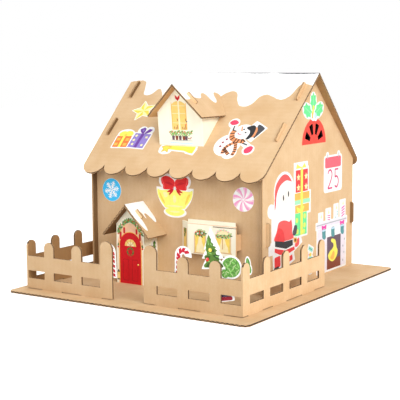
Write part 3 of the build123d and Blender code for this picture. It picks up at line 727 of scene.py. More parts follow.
def smooth_line(points, steps=6):
    """A smooth open line through some points."""
    padded = [points[0], *points, points[-1]]
    line = [
        spline_point(*padded[n : n + 4], step / steps)
        for n in range(len(points) - 1)
        for step in range(steps)
    ]
    return [*line, points[-1]]


def band(points, width):
    """A strip along a smooth line."""
    line = smooth_line(points)
    last = len(line) - 1
    left, right = [], []
    for n, (u, v) in enumerate(line):
        ahead, behind = line[min(n + 1, last)], line[max(n - 1, 0)]
        way = Vector((ahead[0] - behind[0], ahead[1] - behind[1])).normalized()
        left.append((u - way.y * width / 2, v + way.x * width / 2))
        right.append((u + way.y * width / 2, v - way.x * width / 2))
    return left + right[::-1]


def line_spot(points, share):
    """The place and the turn in degrees at a share of a smooth line."""
    line = smooth_line(points)
    n = min(int(share * (len(line) - 1)), len(line) - 2)
    (u, v), (next_u, next_v) = line[n], line[n + 1]
    from_level = Vector((1, 0)).angle_signed(Vector((next_u - u, next_v - v)), 0)
    return u, v, -from_level * 180 / pi


def swirl(radius, start, stop, twist, steps=6):
    """A curved sector of a peppermint, between two angles in degrees."""
    spots = [(n / steps, start + twist * n / steps) for n in range(steps + 1)]
    spots += [(1, start + twist + (stop - start) * n / steps) for n in range(1, steps + 1)]
    spots += [(n / steps, stop + twist * n / steps) for n in range(steps - 1, 0, -1)]
    turns = [(radius * share, radians(turn)) for share, turn in spots]
    return [(reach * cos(angle), reach * sin(angle)) for reach, angle in turns]


def holly_leaf(across, up, length, width, turn):
    """A leaf with hollow sides between its three spikes, its tip along the turn."""
    side = []
    for n in range(3):
        share = (n + 0.5) / 3.3
        swell = sin(pi * (0.15 + 0.75 * share))
        side.append((length * (share - 0.5) - length * 0.1, width * 0.26 * swell))
        side.append((length * (share - 0.5) + length * 0.06, width * 0.5 * swell))
    points = [(-length / 2, 0), *side, (length / 2, 0), *[(u, -v) for u, v in reversed(side)]]
    return moved(points, across, up, turn)


# Groups of shapes, each a colour, a layer and an outline
def alike(colour_name, layer, outlines):
    """Shapes of one colour in one layer."""
    return [(colour_name, layer, outline) for outline in outlines]


def dots(colour_name, layer, radius, sides, spots):
    """Round spots of one colour and size."""
    return alike(colour_name, layer, [disc(u, v, radius, sides) for u, v in spots])


def blooms(layer, radius, spots):
    """Round spots, each with its own colour."""
    return [(name, layer, disc(u, v, radius, 10)) for u, v, name in spots]


# Planes that print lies on
def make_plane(origin, across, up):
    """A plane with its own middle, its ways across and up, and its way out."""
    across, up = Vector(across).normalized(), Vector(up).normalized()
    return {"origin": Vector(origin), "across": across, "up": up, "out": across.cross(up)}


def wall_plane(x, rise):
    return make_plane((x, front_wall_y, base_top + rise), x_way, z_way)


def gable_plane(y, rise):
    return make_plane((gable_x, y, base_top + rise), y_way, z_way)


def roof_plane(x, down, turn=0):
    level, lean = cos(roof_slope), sin(roof_slope)
    right, slope_up = Vector(x_way), Vector((0, level, lean))
    share, cross_share = cos(radians(turn)), sin(radians(turn))
    across = right * share + slope_up * cross_share
    up = slope_up * share - right * cross_share
    return make_plane((x, house_y - down * level, ridge_z - down * lean), across, up)


def porch_side_plane(forward, rise):
    """On the porch's right side, by how far it is before the front wall."""
    return make_plane((porch_side_x, front_wall_y - forward, base_top + rise), y_way, z_way)


def picket_plane(x, y, rise, turn=0, layer=0):
    """Behind a picket of the fence whose front is at y, or a layer further back."""
    back = y + board + glue + layer * (paper + glue)
    level, lean = cos(radians(turn)), sin(radians(turn))
    return make_plane((x, back, base_top + rise), (level, 0, lean), (-lean, 0, level))


def print_piece(name, plane, size, shapes, lift):
    """One closed piece of print: each shape is a colour, a layer and an outline."""
    mesh = bpy.data.meshes.new(name)
    builder = bmesh.new()
    used = []
    for (colour_name, _, outline), number_up in zip(shapes, stack_shapes(shapes)):
        if colour_name not in used:
            used.append(colour_name)
        rings = []
        for height in (lift, lift + number_up * ink):
            spots = [
                plane["origin"] + plane["across"] * (u * size) + plane["up"] * (v * size) for u, v in outline
            ]
            rings.append([builder.verts.new((spot + plane["out"] * height) * mm) for spot in spots])
        add_prism(builder, rings, used.index(colour_name))
    bmesh.ops.recalc_face_normals(builder, faces=builder.faces)
    builder.to_mesh(mesh)
    builder.free()
    for colour_name in used:
        mesh.materials.append(ink_finish(colour_name))
    piece = bpy.data.objects.new(name, mesh)
    bpy.context.scene.collection.objects.link(piece)
    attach(piece, "root")


def stack_shapes(shapes):
    """How many inks high each shape stands: above lower layers, and apart from what it meets in its own."""
    heights = [0] * len(shapes)
    below = 0
    for layer in sorted({shape[1] for shape in shapes}):
        placed = []
        for place, (_, shape_layer, outline) in enumerate(shapes):
            if shape_layer == layer:
                reach = outline_reach(outline)
                taken = {height for height, other in placed if reaches_meet(reach, other)}
                height = min(set(range(1, len(placed) + 2)) - taken)
                placed.append((height, reach))
                heights[place] = below + height
        below += max(height for height, _ in placed)
    return heights


def outline_reach(outline):
    """The least and greatest u and v of an outline."""
    across = [u for u, _ in outline]
    up = [v for _, v in outline]
    return min(across), max(across), min(up), max(up)


def reaches_meet(first, second):
    """Whether two outlines' reaches lie over each other."""
    left, right, foot, top = first
    other_left, other_right, other_foot, other_top = second
    return left < other_right and other_left < right and foot < other_top and other_foot < top


def add_prism(builder, rings, number):
    """Two rings closed by flat ends and sides."""
    lower, upper = rings
    faces = [builder.faces.new(lower[::-1]), builder.faces.new(upper)]
    count = len(lower)
    for n in range(count):
        after = (n + 1) % count
        faces.append(builder.faces.new((lower[n], lower[after], upper[after], upper[n])))
    for made in faces:
        made.material_index = number


# Sticker outlines are in thousandths of the sticker's size, about its own middle
outline_units = 1000


def print_paper(name, plane, size, shapes, lift=paper):
    """Print on a sticker that lies on the board, or with no lift on a cut-out's own front."""
    print_piece(name, plane, size / outline_units, shapes, lift)


def print_board(name, plane, shapes):
    """Print straight on the board, its outlines in millimetres."""
    print_piece(name, plane, 1.0, shapes, 0.0)


# Stickers on the roof
def star_print():
    """A star of ten facets, light and dark in turn."""
    reach, waist = 1000, 500
    shapes = []
    for n in range(5):
        tip = pi / 2 + n * 2 * pi / 5
        for colour_name, side in (("gold", tip + pi / 5), ("pale_yellow", tip - pi / 5)):
            corners = [(0, 0), (reach * cos(tip), reach * sin(tip)), (waist * cos(side), waist * sin(side))]
            shapes.append((colour_name, 1, corners))
    return shapes


def gifts_print():
    """Two wrapped presents, one with a bow and one with a ribbon's tails."""
    small_tail = [(250, 120), (140, 200), (100, 280), (200, 345), (260, 300), (270, 200)]
    large_tail = [(260, 120), (300, 220), (360, 300), (460, 280), (420, 200), (340, 150)]
    squares = [box(u, v, 100, 85, 2) for u in (-375, -115) for v in (-220, -60)]
    stars = [star(u, v, 50, 24) for u, v in ((90, 70), (100, -200), (400, 30), (380, -220), (80, -70))]
    return [
        ("orange", 1, box(-240, -130, 420, 360, 2)),
        ("lilac", 3, box(240, -80, 460, 450, -3)),
        *alike("amber", 2, squares),
        ("yellow", 2, box(-250, -130, 70, 360, 2)),
        ("yellow", 2, oval(-330, 120, 220, 160, 16)),
        ("yellow", 2, oval(-150, 130, 240, 170, -14)),
        ("gold", 3, oval(-240, 80, 80, 100)),
        *alike("pale_yellow", 4, stars),
        *alike("violet", 4, (box(235, -80, 85, 450, -3), small_tail, large_tail)),
        ("lilac", 5, [(220, 200), (170, 250), (200, 290), (230, 250)]),
    ]


def comet_print():
    """A shooting star with a broad tail."""
    tail = [(-300, 85), (-300, -30), (-50, -45), (200, -60), (360, -120), (460, -130), (480, 0), (470, 85)]
    head = [
        (-500, 50), (-420, -26), (-440, -137), (-340, -85), (-240, -137), (-260, -26), (-180, 50),
        (-290, 85), (-390, 85),
    ]
    streak = [(-220, 60), (-50, 30), (200, 0), (420, -50), (200, 30), (-50, 60)]
    glow = moved(head, -120, 0, 0, 0.65)
    return [("sun", 1, tail), ("yellow", 2, streak), ("amber", 2, head), ("gold", 3, glow)]


def scarf(layer, points, width, shares):
    """A strip of scarf with dark stripes across it."""
    shapes = [("scarf", layer, band(points, width))]
    for share in shares:
        u, v, turn = line_spot(points, share)
        shapes.append(("scarf_dark", 5, box(u, v, 24, width, turn)))
    return shapes


def snowman_print():
    """A snowman's hat, mittens, twig arms, face, buttons and scarf, on the white of the paper."""
    neck = [(-198, 203), (-215, 109), (-162, 0), (-44, -50), (62, -55), (100, -20)]
    tails = (
        [(-80, -90), (-180, -175), (-225, -260), (-215, -370)],
        [(-225, -255), (-160, -315), (-80, -380)],
        [(-60, -90), (-15, -190), (8, -290), (0, -400)],
    )
    brim = [
        (20, 280), (70, 313), (135, 338), (190, 310), (222, 200), (210, 70), (160, -2), (108, 2), (120, 50),
        (135, 130), (110, 205), (50, 240),
    ]
    crown = [
        (225, 300), (235, 358), (300, 338), (375, 290), (392, 250), (352, 165), (310, 90), (275, 30),
        (250, 60), (258, 190),
    ]
    hat_band = [(200, 50), (255, 70), (268, 190), (242, 275), (195, 290), (222, 180)]
    mitten = [(-385, 385), (-345, 445), (-272, 450), (-200, 395), (-230, 345), (-314, 330)]
    other_mitten = [(212, -318), (192, -236), (271, -162), (347, -192), (342, -288), (278, -335)]
    shapes = [
        ("charcoal", 1, band([(-251, 310), (-239, 200)], 30)),
        ("charcoal", 1, band([(82, -94), (200, -139)], 30)),
        ("raspberry", 2, smooth(mitten)),
        ("raspberry", 2, smooth(other_mitten)),
        ("charcoal", 2, smooth(crown)),
        ("scarf", 3, smooth(hat_band)),
        ("black", 4, smooth(brim)),
        ("carrot", 2, [(-100, 315), (-68, 285), (-32, 178), (-70, 195)]),
        *dots("black", 2, 19, 16, ((-21, 231), (42, 157))),
        ("raspberry", 2, band([(-120, 150), (-70, 108), (-20, 118)], 16)),
        *dots("wine", 2, 23, 16, ((-270, -22), (-319, -100), (-331, -196))),
        *scarf(4, neck, 100, (0.05, 0.18, 0.3, 0.42, 0.54, 0.66, 0.78, 0.92)),
    ]
    for tail in tails:
        shapes += scarf(3, tail, 66, (0.1, 0.26, 0.42, 0.58, 0.74, 0.93))
    return shapes


# Stickers on the front wall
def snowflake_print():
    """A white snowflake on a blue disc."""
    shapes = [("sky", 1, disc(0, 0, 985, 64))]
    for n in range(6):
        arm = 60 * n + 12
        shapes.append(("white", 2, moved(box(390, 0, 760, 85), 0, 0, arm)))
        for reach, length in ((220, 200), (380, 280), (560, 200)):
            for side in (-1, 1):
                twig = [(0, -40), (length, -30), (length, 30), (0, 40)]
                shapes.append(("white", 2, moved(moved(twig, reach, 0, side * 52), 0, 0, arm)))
    shapes.append(("sky", 3, disc(0, 0, 60)))
    return shapes


def peppermint_print():
    """A round sweet of pink and white swirls."""
    shapes = [("white", 1, disc(0, 0, 985, 64))]
    for n in range(8):
        shapes.append(("pink", 2, swirl(985, 45 * n, 45 * n + 23, 24)))
        shapes.append(("pale_pink", 3, swirl(975, 45 * n + 15, 45 * n + 21, 24)))
    shapes.append(("white", 4, disc(0, 0, 80)))
    return shapes


def bell_print():
    """A bell with a red bow over it."""
    loop = [
        (10, 385), (101, 454), (222, 503), (341, 485), (408, 430), (400, 320), (360, 270), (350, 180),
        (270, 160), (135, 172), (50, 200), (10, 286),
    ]
    tail = [(22, 200), (67, 102), (156, 25), (186, 50), (140, 98), (250, 92), (155, 165)]
    fold = [(60, 300), (180, 360), (300, 340), (200, 300), (70, 270)]
    edge = [
        (360, 460), (385, 420), (370, 330), (340, 270), (330, 200), (315, 200), (320, 280), (350, 350),
        (362, 420),
    ]
    body = [
        (-529, 165), (-430, 140), (-200, 150), (0, 160), (200, 150), (430, 140), (529, 165), (518, 20),
        (455, -100), (345, -225), (245, -300), (-245, -300), (-345, -225), (-455, -100), (-518, 20),
    ]
    foot = [
        (-290, -360), (-200, -310), (0, -300), (200, -310), (290, -360), (245, -430), (100, -485),
        (-100, -485), (-245, -430),
    ]
    shades = (
        [(-470, 60), (-430, 50), (-300, -180), (-340, -180), (-430, -60)],
        [(400, 60), (460, 50), (380, -120), (300, -200), (340, -60)],
    )
    glints = (
        [(-40, 20), (20, 0), (40, -120), (-20, -160), (-60, -80)],
        [(-180, -380), (0, -410), (160, -380), (0, -360)],
        [(-260, -250), (0, -220), (260, -250), (0, -270)],
        [(-360, 80), (-260, 90), (-220, 0), (-300, -40)],
    )
    return [
        *alike("lemon", 1, (smooth(body), smooth(foot))),
        *alike("gold", 2, map(smooth, shades)),
        *alike("pale_yellow", 2, map(smooth, glints)),
        *alike("door_red", 3, pair(tail)),
        *alike("red", 4, pair(smooth(loop))),
        *alike("door_red", 5, pair(smooth(fold))),
        *alike("rose", 5, pair(smooth(edge))),
        ("rose", 6, oval(0, 285, 35, 100)),
    ]


# Stickers on the right gable
def holly_print():
    """Three toothed leaves with veins, a ribbon and a berry."""
    veins = ([(0, 280), (0, 20)], [(420, 10), (140, -130)], [(-420, 10), (-140, -130)])
    return [
        ("mint", 1, oval(0, 140, 450, 330, 90, 14, 0.7)),
        ("mint", 1, oval(-290, -70, 500, 340, 152, 14, 0.72)),
        ("mint", 1, oval(290, -70, 500, 340, 28, 14, 0.72)),
        *alike("pale_mint", 2, [band(points, 18) for points in veins]),
        ("yellow", 3, band([(20, 40), (-10, -80), (-35, -160)], 80)),
        ("amber", 3, band([(-30, -120), (-50, -260)], 60)),
        ("pale_sky", 3, oval(110, -200, 120, 140)),
    ]


def number_strokes():
    """The number 25 in thin strokes, about its own middle."""
    two = [(-240, 120), (-200, 180), (-120, 190), (-60, 120), (-80, 20), (-150, -80), (-240, -180)]
    five_bowl = [(80, 30), (160, 40), (230, -20), (230, -120), (160, -185), (70, -150)]
    return [
        band(two, 36),
        box(-145, -185, 210, 34),
        box(155, 190, 160, 34),
        box(85, 110, 36, 170),
        band(five_bowl, 36),
    ]


def calendar_print():
    """A calendar page with a blank header, its rings and its number."""
    rings = [smooth_box(side * 330, 470, 35, 130, 15) for side in (-1, 1)]
    strokes = [moved(stroke, 10, -150, 0, 1.28) for stroke in number_strokes()]
    header = smooth_box(0, 300, 940, 290, 60)
    return [("header", 1, header), *alike("grey", 2, rings), *alike("magenta", 1, strokes)]


def father_print():
    """A bearded figure in a red suit that holds a tower of presents."""
    hat = [
        (-248, 140), (-246, 200), (-242, 250), (-248, 310), (-228, 390), (-160, 455), (-62, 495), (35, 475),
        (108, 410), (60, 418), (-12, 428), (-112, 398), (-178, 345), (-215, 276), (-228, 187),
    ]
    coat = [
        (-170, 0), (-98, 18), (-20, 12), (60, -10), (100, 8), (122, -64), (120, -130), (130, -200),
        (-243, -180), (-208, -80),
    ]
    shade = [(-166, -50), (-75, -90), (-40, -200), (-140, -200), (-240, -180), (-205, -100)]
    belt = [(-243, -173), (-60, -206), (132, -208), (138, -268), (-6, -287), (-243, -232)]
    mitten = [(172, -65), (225, -75), (215, -150), (158, -172), (130, -138), (157, -90)]
    sleeve = [(200, -240), (262, -205), (280, -237), (270, -280), (220, -300), (185, -286)]
    skirt = [
        (-250, -250), (-30, -300), (170, -286), (180, -322), (60, -342), (-60, -340), (-140, -332),
        (-250, -290),
    ]
    shapes = [
        ("rose", 1, smooth(hat)),
        ("scarlet", 2, smooth([(-250, 150), (-245, 260), (-215, 340), (-222, 260), (-232, 190)])),
        ("rose", 1, smooth(coat)),
        ("scarlet", 2, smooth(shade)),
        ("scarlet", 1, skirt),
        ("rose", 3, smooth(sleeve)),
        ("black", 3, belt),
        ("amber", 4, [(150, -190), (225, -200), (225, -255), (155, -245)]),
        ("brick", 5, [(170, -205), (210, -210), (210, -242), (172, -235)]),
        ("scarlet", 2, smooth_box(-190, -400, 125, 115, 20, 4)),
        ("scarlet", 2, [(0, -385), (125, -365), (135, -420), (10, -445)]),
        ("black", 3, smooth_box(-210, -465, 100, 35, 10, 4)),
        ("shade_white", 1, disc(-320, 135, 50)),
        ("white", 2, disc(-317, 138, 47)),
        ("pale_peach", 1, smooth([(-120, 220), (-110, 300), (0, 330), (90, 310), (100, 240), (0, 190)])),
        ("black", 2, oval(-68, 254, 26, 60, 4, 16)),
        ("black", 2, oval(38, 284, 26, 60, 4, 16)),
    ]
    shapes += tower_print()
    shapes.append(("charcoal", 6, smooth(mitten)))
    return shapes


def tower_print():
    """Stacked presents with a ribbon and bows."""
    low_bow = [(220, 120), (300, 100), (380, 125), (360, 70), (330, 40), (290, 60), (240, 70)]
    shapes = [
        ("scarlet", 2, box(330, 395, 270, 235)),
        ("amber", 2, box(340, 232, 330, 75)),
        ("pale_mint", 2, box(345, 172, 340, 45)),
        ("amber", 2, box(340, 100, 310, 85)),
        ("mint", 2, box(315, -65, 260, 240)),
        ("yellow", 3, box(330, 170, 50, 710)),
        ("yellow", 4, [(200, 530), (225, 578), (290, 548), (340, 540), (390, 578), (430, 530)]),
        ("yellow", 4, smooth(low_bow)),
    ]
    stars = [star(u, v, 42, 20) for u in (256, 425) for v in (325, 435)]
    spots = ((225, -20), (400, 10), (395, -88), (380, -155), (235, -140))
    return [*shapes, *alike("pale_yellow", 3, stars), *dots("lime", 3, 28, 16, spots)]


mantel_top = 240


def candle(across, height, width):
    """A white candle on the mantel, with a flame."""
    middle = mantel_top + height / 2
    flame = [(-280, 0), (-100, 300), (0, 600), (100, 300), (280, 0), (0, -200)]
    return [
        ("shade_white", 1, smooth_box(across, middle, width, height, 12)),
        ("white", 2, box(across, middle, width * 0.8, height * 0.92)),
        ("pale_yellow", 2, moved(smooth(flame, 4), across, mantel_top + height + 16, 0, 0.085)),
    ]


def stocking(across, top):
    """A hanging stocking with a pale cuff."""
    leg = [(-55, 0), (50, 0), (50, -70), (60, -120), (20, -150), (-50, -120), (-60, -60)]
    return [
        ("teal", 3, moved(smooth(leg, 4), across, top)),
        ("pale_sky", 4, box(across, top - 12, 110, 26)),
    ]


def hearth_print():
    """A fireplace with a fire, stockings and candles."""
    outer_flame = [
        (11, -38), (112, -67), (146, -125), (165, -189), (200, -240), (167, -328), (51, -386), (-66, -352),
        (-117, -283), (-52, -218), (14, -197), (63, -159), (45, -111), (-5, -88), (-22, -56),
    ]
    inner_flame = [(60, -230), (100, -270), (80, -340), (20, -360), (-40, -320), (0, -280)]
    shapes = [
        ("pale_lilac", 1, box(0, 200, 980, 70)),
        ("pale_lilac", 1, box(0, -170, 920, 640)),
        ("grey", 2, box(0, 212, 980, 14)),
        ("white", 2, box(60, 70, 560, 130)),
        ("plum", 2, box(75, -245, 455, 490)),
        ("brick", 3, box(75, -415, 455, 150)),
        ("yellow", 4, smooth(outer_flame, 4)),
        ("amber", 5, smooth(inner_flame, 4)),
    ]
    stones = ((430, -100), (380, -200), (420, -300), (380, -420), (-370, -50), (-330, -160))
    shapes += alike("grey", 2, [oval(u, v, 30, 35, 0, 12) for u, v in stones])
    for across in (-253, 40, 355):
        shapes += stocking(across, 130)
    ribbon = [(-70, 200), (0, 180), (70, 200), (60, 130), (0, 150), (-60, 130)]
    shapes += alike("hot_pink", 5, [moved(smooth(ribbon), across, 0) for across in (-255, 345)])
    for across, height, width in ((-345, 70, 80), (-105, 110, 95), (155, 150, 90), (375, 190, 130)):
        shapes += candle(across, height, width)
    shapes += alike("hot_pink", 3, [box(-100, rise, 80, 13, -6) for rise in (262, 292, 322)])
    shapes += dots("aqua", 3, 14, 12, ((135, 270), (175, 310), (175, 350)))
    stripe = [(325, -20), (325, 0), (425, 30), (425, 10)]
    shapes += alike("hot_pink", 3, [moved(stripe, 0, rise) for rise in (270, 310, 350, 390)])
    return shapes


def bauble_print():
    """A round bauble under its cap and ribbon."""
    return [
        ("aqua", 1, disc(0, -160, 290)),
        ("teal", 2, band([(-260, -200), (0, -260), (260, -180)], 60)),
        ("white", 3, band([(-220, -20), (-100, 40), (40, 50)], 40)),
        ("aqua", 1, box(20, 380, 320, 140, -24)),
        ("teal", 2, box(20, 380, 320, 30, -24)),
        ("gold", 2, box(0, 190, 160, 120)),
        ("hot_pink", 3, disc(-100, 200, 30)),
    ]


def sprig_print():
    """Two long leaves, each with a vein, and two berries."""
    shapes = []
    for u, v, length, width, turn in ((20, 240, 440, 220, 82), (-20, -200, 460, 200, 96)):
        shapes.append(("leaf_dark", 1, holly_leaf(u, v, length, width, turn)))
        shapes.append(("leaf_light", 2, box(u, v, length * 0.6, 15, turn)))
    return shapes + dots("red", 3, 35, 16, ((0, 20), (50, -20)))


# Cut-outs behind the pickets
cane_points = ((129, -485), (100, 200), (55, 330), (-60, 380), (-170, 330), (-222, 232))
cane_width = 135


def cane_print(way):
    """A cane that hooks to one side: minus one for left."""
    points = [(way * u, v) for u, v in cane_points]
    shapes = [("white", 1, band(points, cane_width))]
    stem, hook = points[:2], points[1:]
    stripes = ((stem, 85, (0.17, 0.34, 0.51, 0.68, 0.84)), (hook, 100, (0.08, 0.3, 0.53, 0.76)))
    for line, thick, shares in stripes:
        for share in shares:
            u, v, turn = line_spot(line, share)
            shapes.append(("crimson", 2, slanted(u, v, cane_width, thick, turn)))
    return shapes


def slanted(across, up, width, thick, turn):
    """A stripe across a strip, leaning forward."""
    half, lean = width / 2, width / 4
    points = [(-thick / 2 - lean, -half), (thick / 2 - lean, -half),
              (thick / 2 + lean, half), (-thick / 2 + lean, half)]
    return moved(points, across, up, turn)


def tree_print():
    """A decorated tree in a pot."""
    right_side = [
        (-35, 400), (-15, 360), (0, 335), (-5, 300), (30, 275), (20, 250), (70, 235), (45, 212), (80, 190),
        (55, 165), (65, 135), (115, 125), (95, 100), (110, 70), (95, 50), (145, 4), (162, -20), (140, -40),
    ]
    left_side = [
        (-140, -40), (-150, -10), (-105, 30), (-112, 60), (-132, 100), (-120, 122), (-90, 130), (-85, 160),
        (-100, 200), (-92, 232), (-98, 245), (-80, 300), (-62, 350),
    ]
    shades = (
        [(50, 140), (110, 120), (90, 100), (110, 70), (60, 75), (0, 120)],
        [(20, 60), (80, 45), (140, 4), (155, -20), (130, -38), (20, -38), (50, 0)],
        [(-90, 120), (-30, 110), (-50, 70), (-120, 90)],
        [(-120, -30), (-40, -35), (-20, 20), (-80, 20)],
        [(-50, 200), (40, 200), (30, 165), (-30, 170)],
    )
    glints = (
        [(-58, 340), (-48, 260)], [(-20, 280), (0, 255)], [(-60, 160), (-10, 140)],
        [(0, 50), (50, 20)], [(-90, 50), (-50, 40)], [(50, 110), (100, 100)],
    )
    shapes = [
        ("bark", 1, box(35, -100, 50, 110)),
        ("navy", 1, smooth_box(90, -360, 330, 140, 20, 6)),
        ("wine", 1, smooth_box(100, -455, 320, 50, 20, 6)),
        ("pine", 2, right_side + left_side),
    ]
    shapes += alike("pine_dark", 3, shades)
    shapes += alike("leaf_light", 4, [band(points, 10) for points in glints])
    for colour_name, u, v in (("gold", -30, 194), ("red", -85, 68)):
        shapes.append((colour_name, 5, disc(u, v, 26, 20)))
        shapes.append(("white", 6, disc(u - 7, v + 8, 6, 12)))
    return shapes


def sweet_print():
    """A wrapped sweet in crinkled green paper."""
    greens = ("pale_leaf", "leaf_light", "leaf_dark")
    shapes = [("leaf", 1, oval(0, 0, 900, 840, 20)), ("leaf", 2, oval(-300, -300, 380, 340, -20))]
    for row in range(7):
        for column in range(6):
            u = -360 + 140 * column + 50 * (row % 2)
            v = -320 + 105 * row
            if hypot(u, v) < 370:
                turn = 50 + 37 * ((row + 2 * column) % 4)
                shapes.append((greens[(row * 2 + column) % 3], 3, box(u, v, 150, 35, turn)))
    creases = ((-380, -260, 40), (-300, -360, 70), (-240, -280, 110))
    return shapes + alike("pale_leaf", 3, [box(u, v, 120, 30, turn) for u, v, turn in creases])


def leaf_print():
    """Two leaves, one over the other."""
    return [
        ("leaf", 1, oval(-50, 100, 400, 800, 20)),
        ("leaf", 2, oval(150, -240, 300, 460, 20)),
        ("leaf_dark", 3, smooth([(-20, 360), (80, 200), (120, 0), (40, 50), (0, 200)])),
        ("leaf_light", 3, band([(-160, 360), (-100, 100), (40, -200)], 40)),
    ]


# Print straight on the board
def round_head(across, spring, half, sides):
    """The points of a half circle, from right to left."""
    angles = [pi * n / sides for n in range(sides + 1)]
    return [(across + half * cos(angle), spring + half * sin(angle)) for angle in angles]


def arch(across, foot, spring, half):
    """A doorway outline: straight sides and a round head."""
    return [(across - half, foot), (across + half, foot), *round_head(across, spring, half, 14)]


def foliage(points, leaf_length, colour_names, layer, count):
    """Small leaves either side of a line, with berries."""
    shapes = []
    for n in range(count):
        u, v, turn = line_spot(points, (n + 0.5) / count)
        lean = 38 if n % 2 else -38
        name = colour_names[n % len(colour_names)]
        leaf = oval(0.4, 0, 1.0, 0.42, 0, 10)
        shapes.append((name, layer, moved(leaf, u, v, turn + lean, leaf_length)))
    for n in range(0, count, 4):
        u, v, _ = line_spot(points, (n + 0.9) / count)
        shapes.append(("red", layer + 1, disc(u, v, leaf_length * 0.17, 10)))
    return shapes


def bow(across, up, size, layer):
    """A red bow: two tails, two loops with their folds, and a knot, drawn as shares of its size."""
    loop = smooth([(0.02, 0.0), (0.2, 0.24), (0.46, 0.26), (0.5, 0.02), (0.3, -0.12)])
    fold = smooth([(0.08, 0.02), (0.22, 0.12), (0.36, 0.12), (0.3, 0.02)])
    tail = [(0.0, -0.02), (0.12, -0.16), (0.3, -0.42), (0.2, -0.38), (0.14, -0.46), (0.02, -0.2)]
    shapes = [
        *alike("red", layer, (*pair(tail), *pair(loop))),
        *alike("wine", layer + 1, pair(fold)),
        ("wine", layer + 2, oval(0, 0, 0.16, 0.2)),
    ]
    return [(name, height, moved(points, across, up, 0, size)) for name, height, points in shapes]


def wreath(across, up, radius, layer):
    """A ring of leaves and berries with a bow under it."""
    shapes = []
    for n in range(14):
        angle = 360 * n / 14
        u, v = across + radius * cos(radians(angle)), up + radius * sin(radians(angle))
        name = "leaf_dark" if n % 2 else "moss"
        shapes.append((name, layer, oval(u, v, radius * 0.85, radius * 0.4, angle + 60, 10)))
    angles = [radians(72 * n + 20) for n in range(5)]
    berries = [(across + radius * cos(angle), up + radius * sin(angle)) for angle in angles]
    shapes += dots("red", layer + 1, radius * 0.14, 8, berries)
    return shapes + bow(across, up - radius, radius * 0.9, layer + 1)


def fan_light(across, foot, radius, layer):
    """A half-round glass with bars."""
    glass = round_head(across, foot, radius, 12)
    inner = [(across + (u - across) * 0.6, foot + (v - foot) * 0.6) for u, v in glass]
    bar = box(radius / 2, 0, radius, radius * 0.06)
    bars = [moved(bar, across, foot, angle) for angle in (45, 90, 135)]
    return [("glass", layer, glass), ("glass_pale", layer + 1, inner), *alike("wood", layer + 2, bars)]


def door_print():
    """The porch face, in millimetres about the foot of its middle."""
    glow = [(-17.5, 46), (-17.5, 63), (-12, 74), (-1, 79), (11, 75), (17.5, 63), (17.5, 46)]
    garland = [(-19, 64), (-16, 72), (-9, 79), (-1, 82.5), (7, 80), (14, 73.5), (18, 65)]
    shapes = [
        ("peach", 1, smooth(glow)),
        ("peach", 1, arch(0, 0, 49.5, 19.0)),
        ("amber", 2, arch(0, 0, 50, 17.7)),
        ("door_red", 3, arch(0, 0, 50, 16.8)),
        *alike("door_shade", 4, [smooth_box(across, 18, 9.5, 28, 1.5) for across in (-7.2, 7.2)]),
        *alike("door_red", 5, [smooth_box(across, 18, 8.1, 26.6, 1.2) for across in (-7.2, 7.2)]),
        ("gold", 6, disc(12.4, 26, 1.1, 16)),
        ("white", 7, disc(12.2, 26.4, 0.4, 10)),
        *fan_light(0.3, 49.2, 9.0, 4),
        *wreath(0, 42.0, 4.6, 5),
        *foliage(garland, 5.4, ("moss", "hedge", "leaf"), 4, 34),
    ]
    for across, foot, height in ((-15.2, 57, 10), (-9.4, 65, 8), (10.2, 65, 7), (15.4, 57, 9)):
        shapes.append(("cherry", 5, smooth_box(across, foot + height / 2, 3.0, height, 1.0)))
        shapes.append(("gold", 5, oval(across, foot + height + 1.4, 1.2, 2.6, 0, 12)))
    for side in (-1, 1):
        shapes.append(("cherry", 5, disc(side * 19.4, 47, 1.2, 12)))
        shapes.append(("moss", 4, oval(side * 19.2, 50, 2.4, 4.4, side * 20, 12)))
    return shapes + lantern(-19.3, 4)


def lantern(across, foot):
    """A small lamp that stands beside the door."""
    return [
        ("charcoal", 4, [(across - 2.2, foot + 10), (across, foot + 14), (across + 2.2, foot + 10)]),
        ("glass", 4, box(across, foot + 5.5, 3.6, 9.0)),
        ("glass_pale", 5, oval(across, foot + 4.5, 1.4, 4.5, 0, 12)),
        ("charcoal", 5, box(across, foot + 0.6, 4.2, 1.4)),
    ]


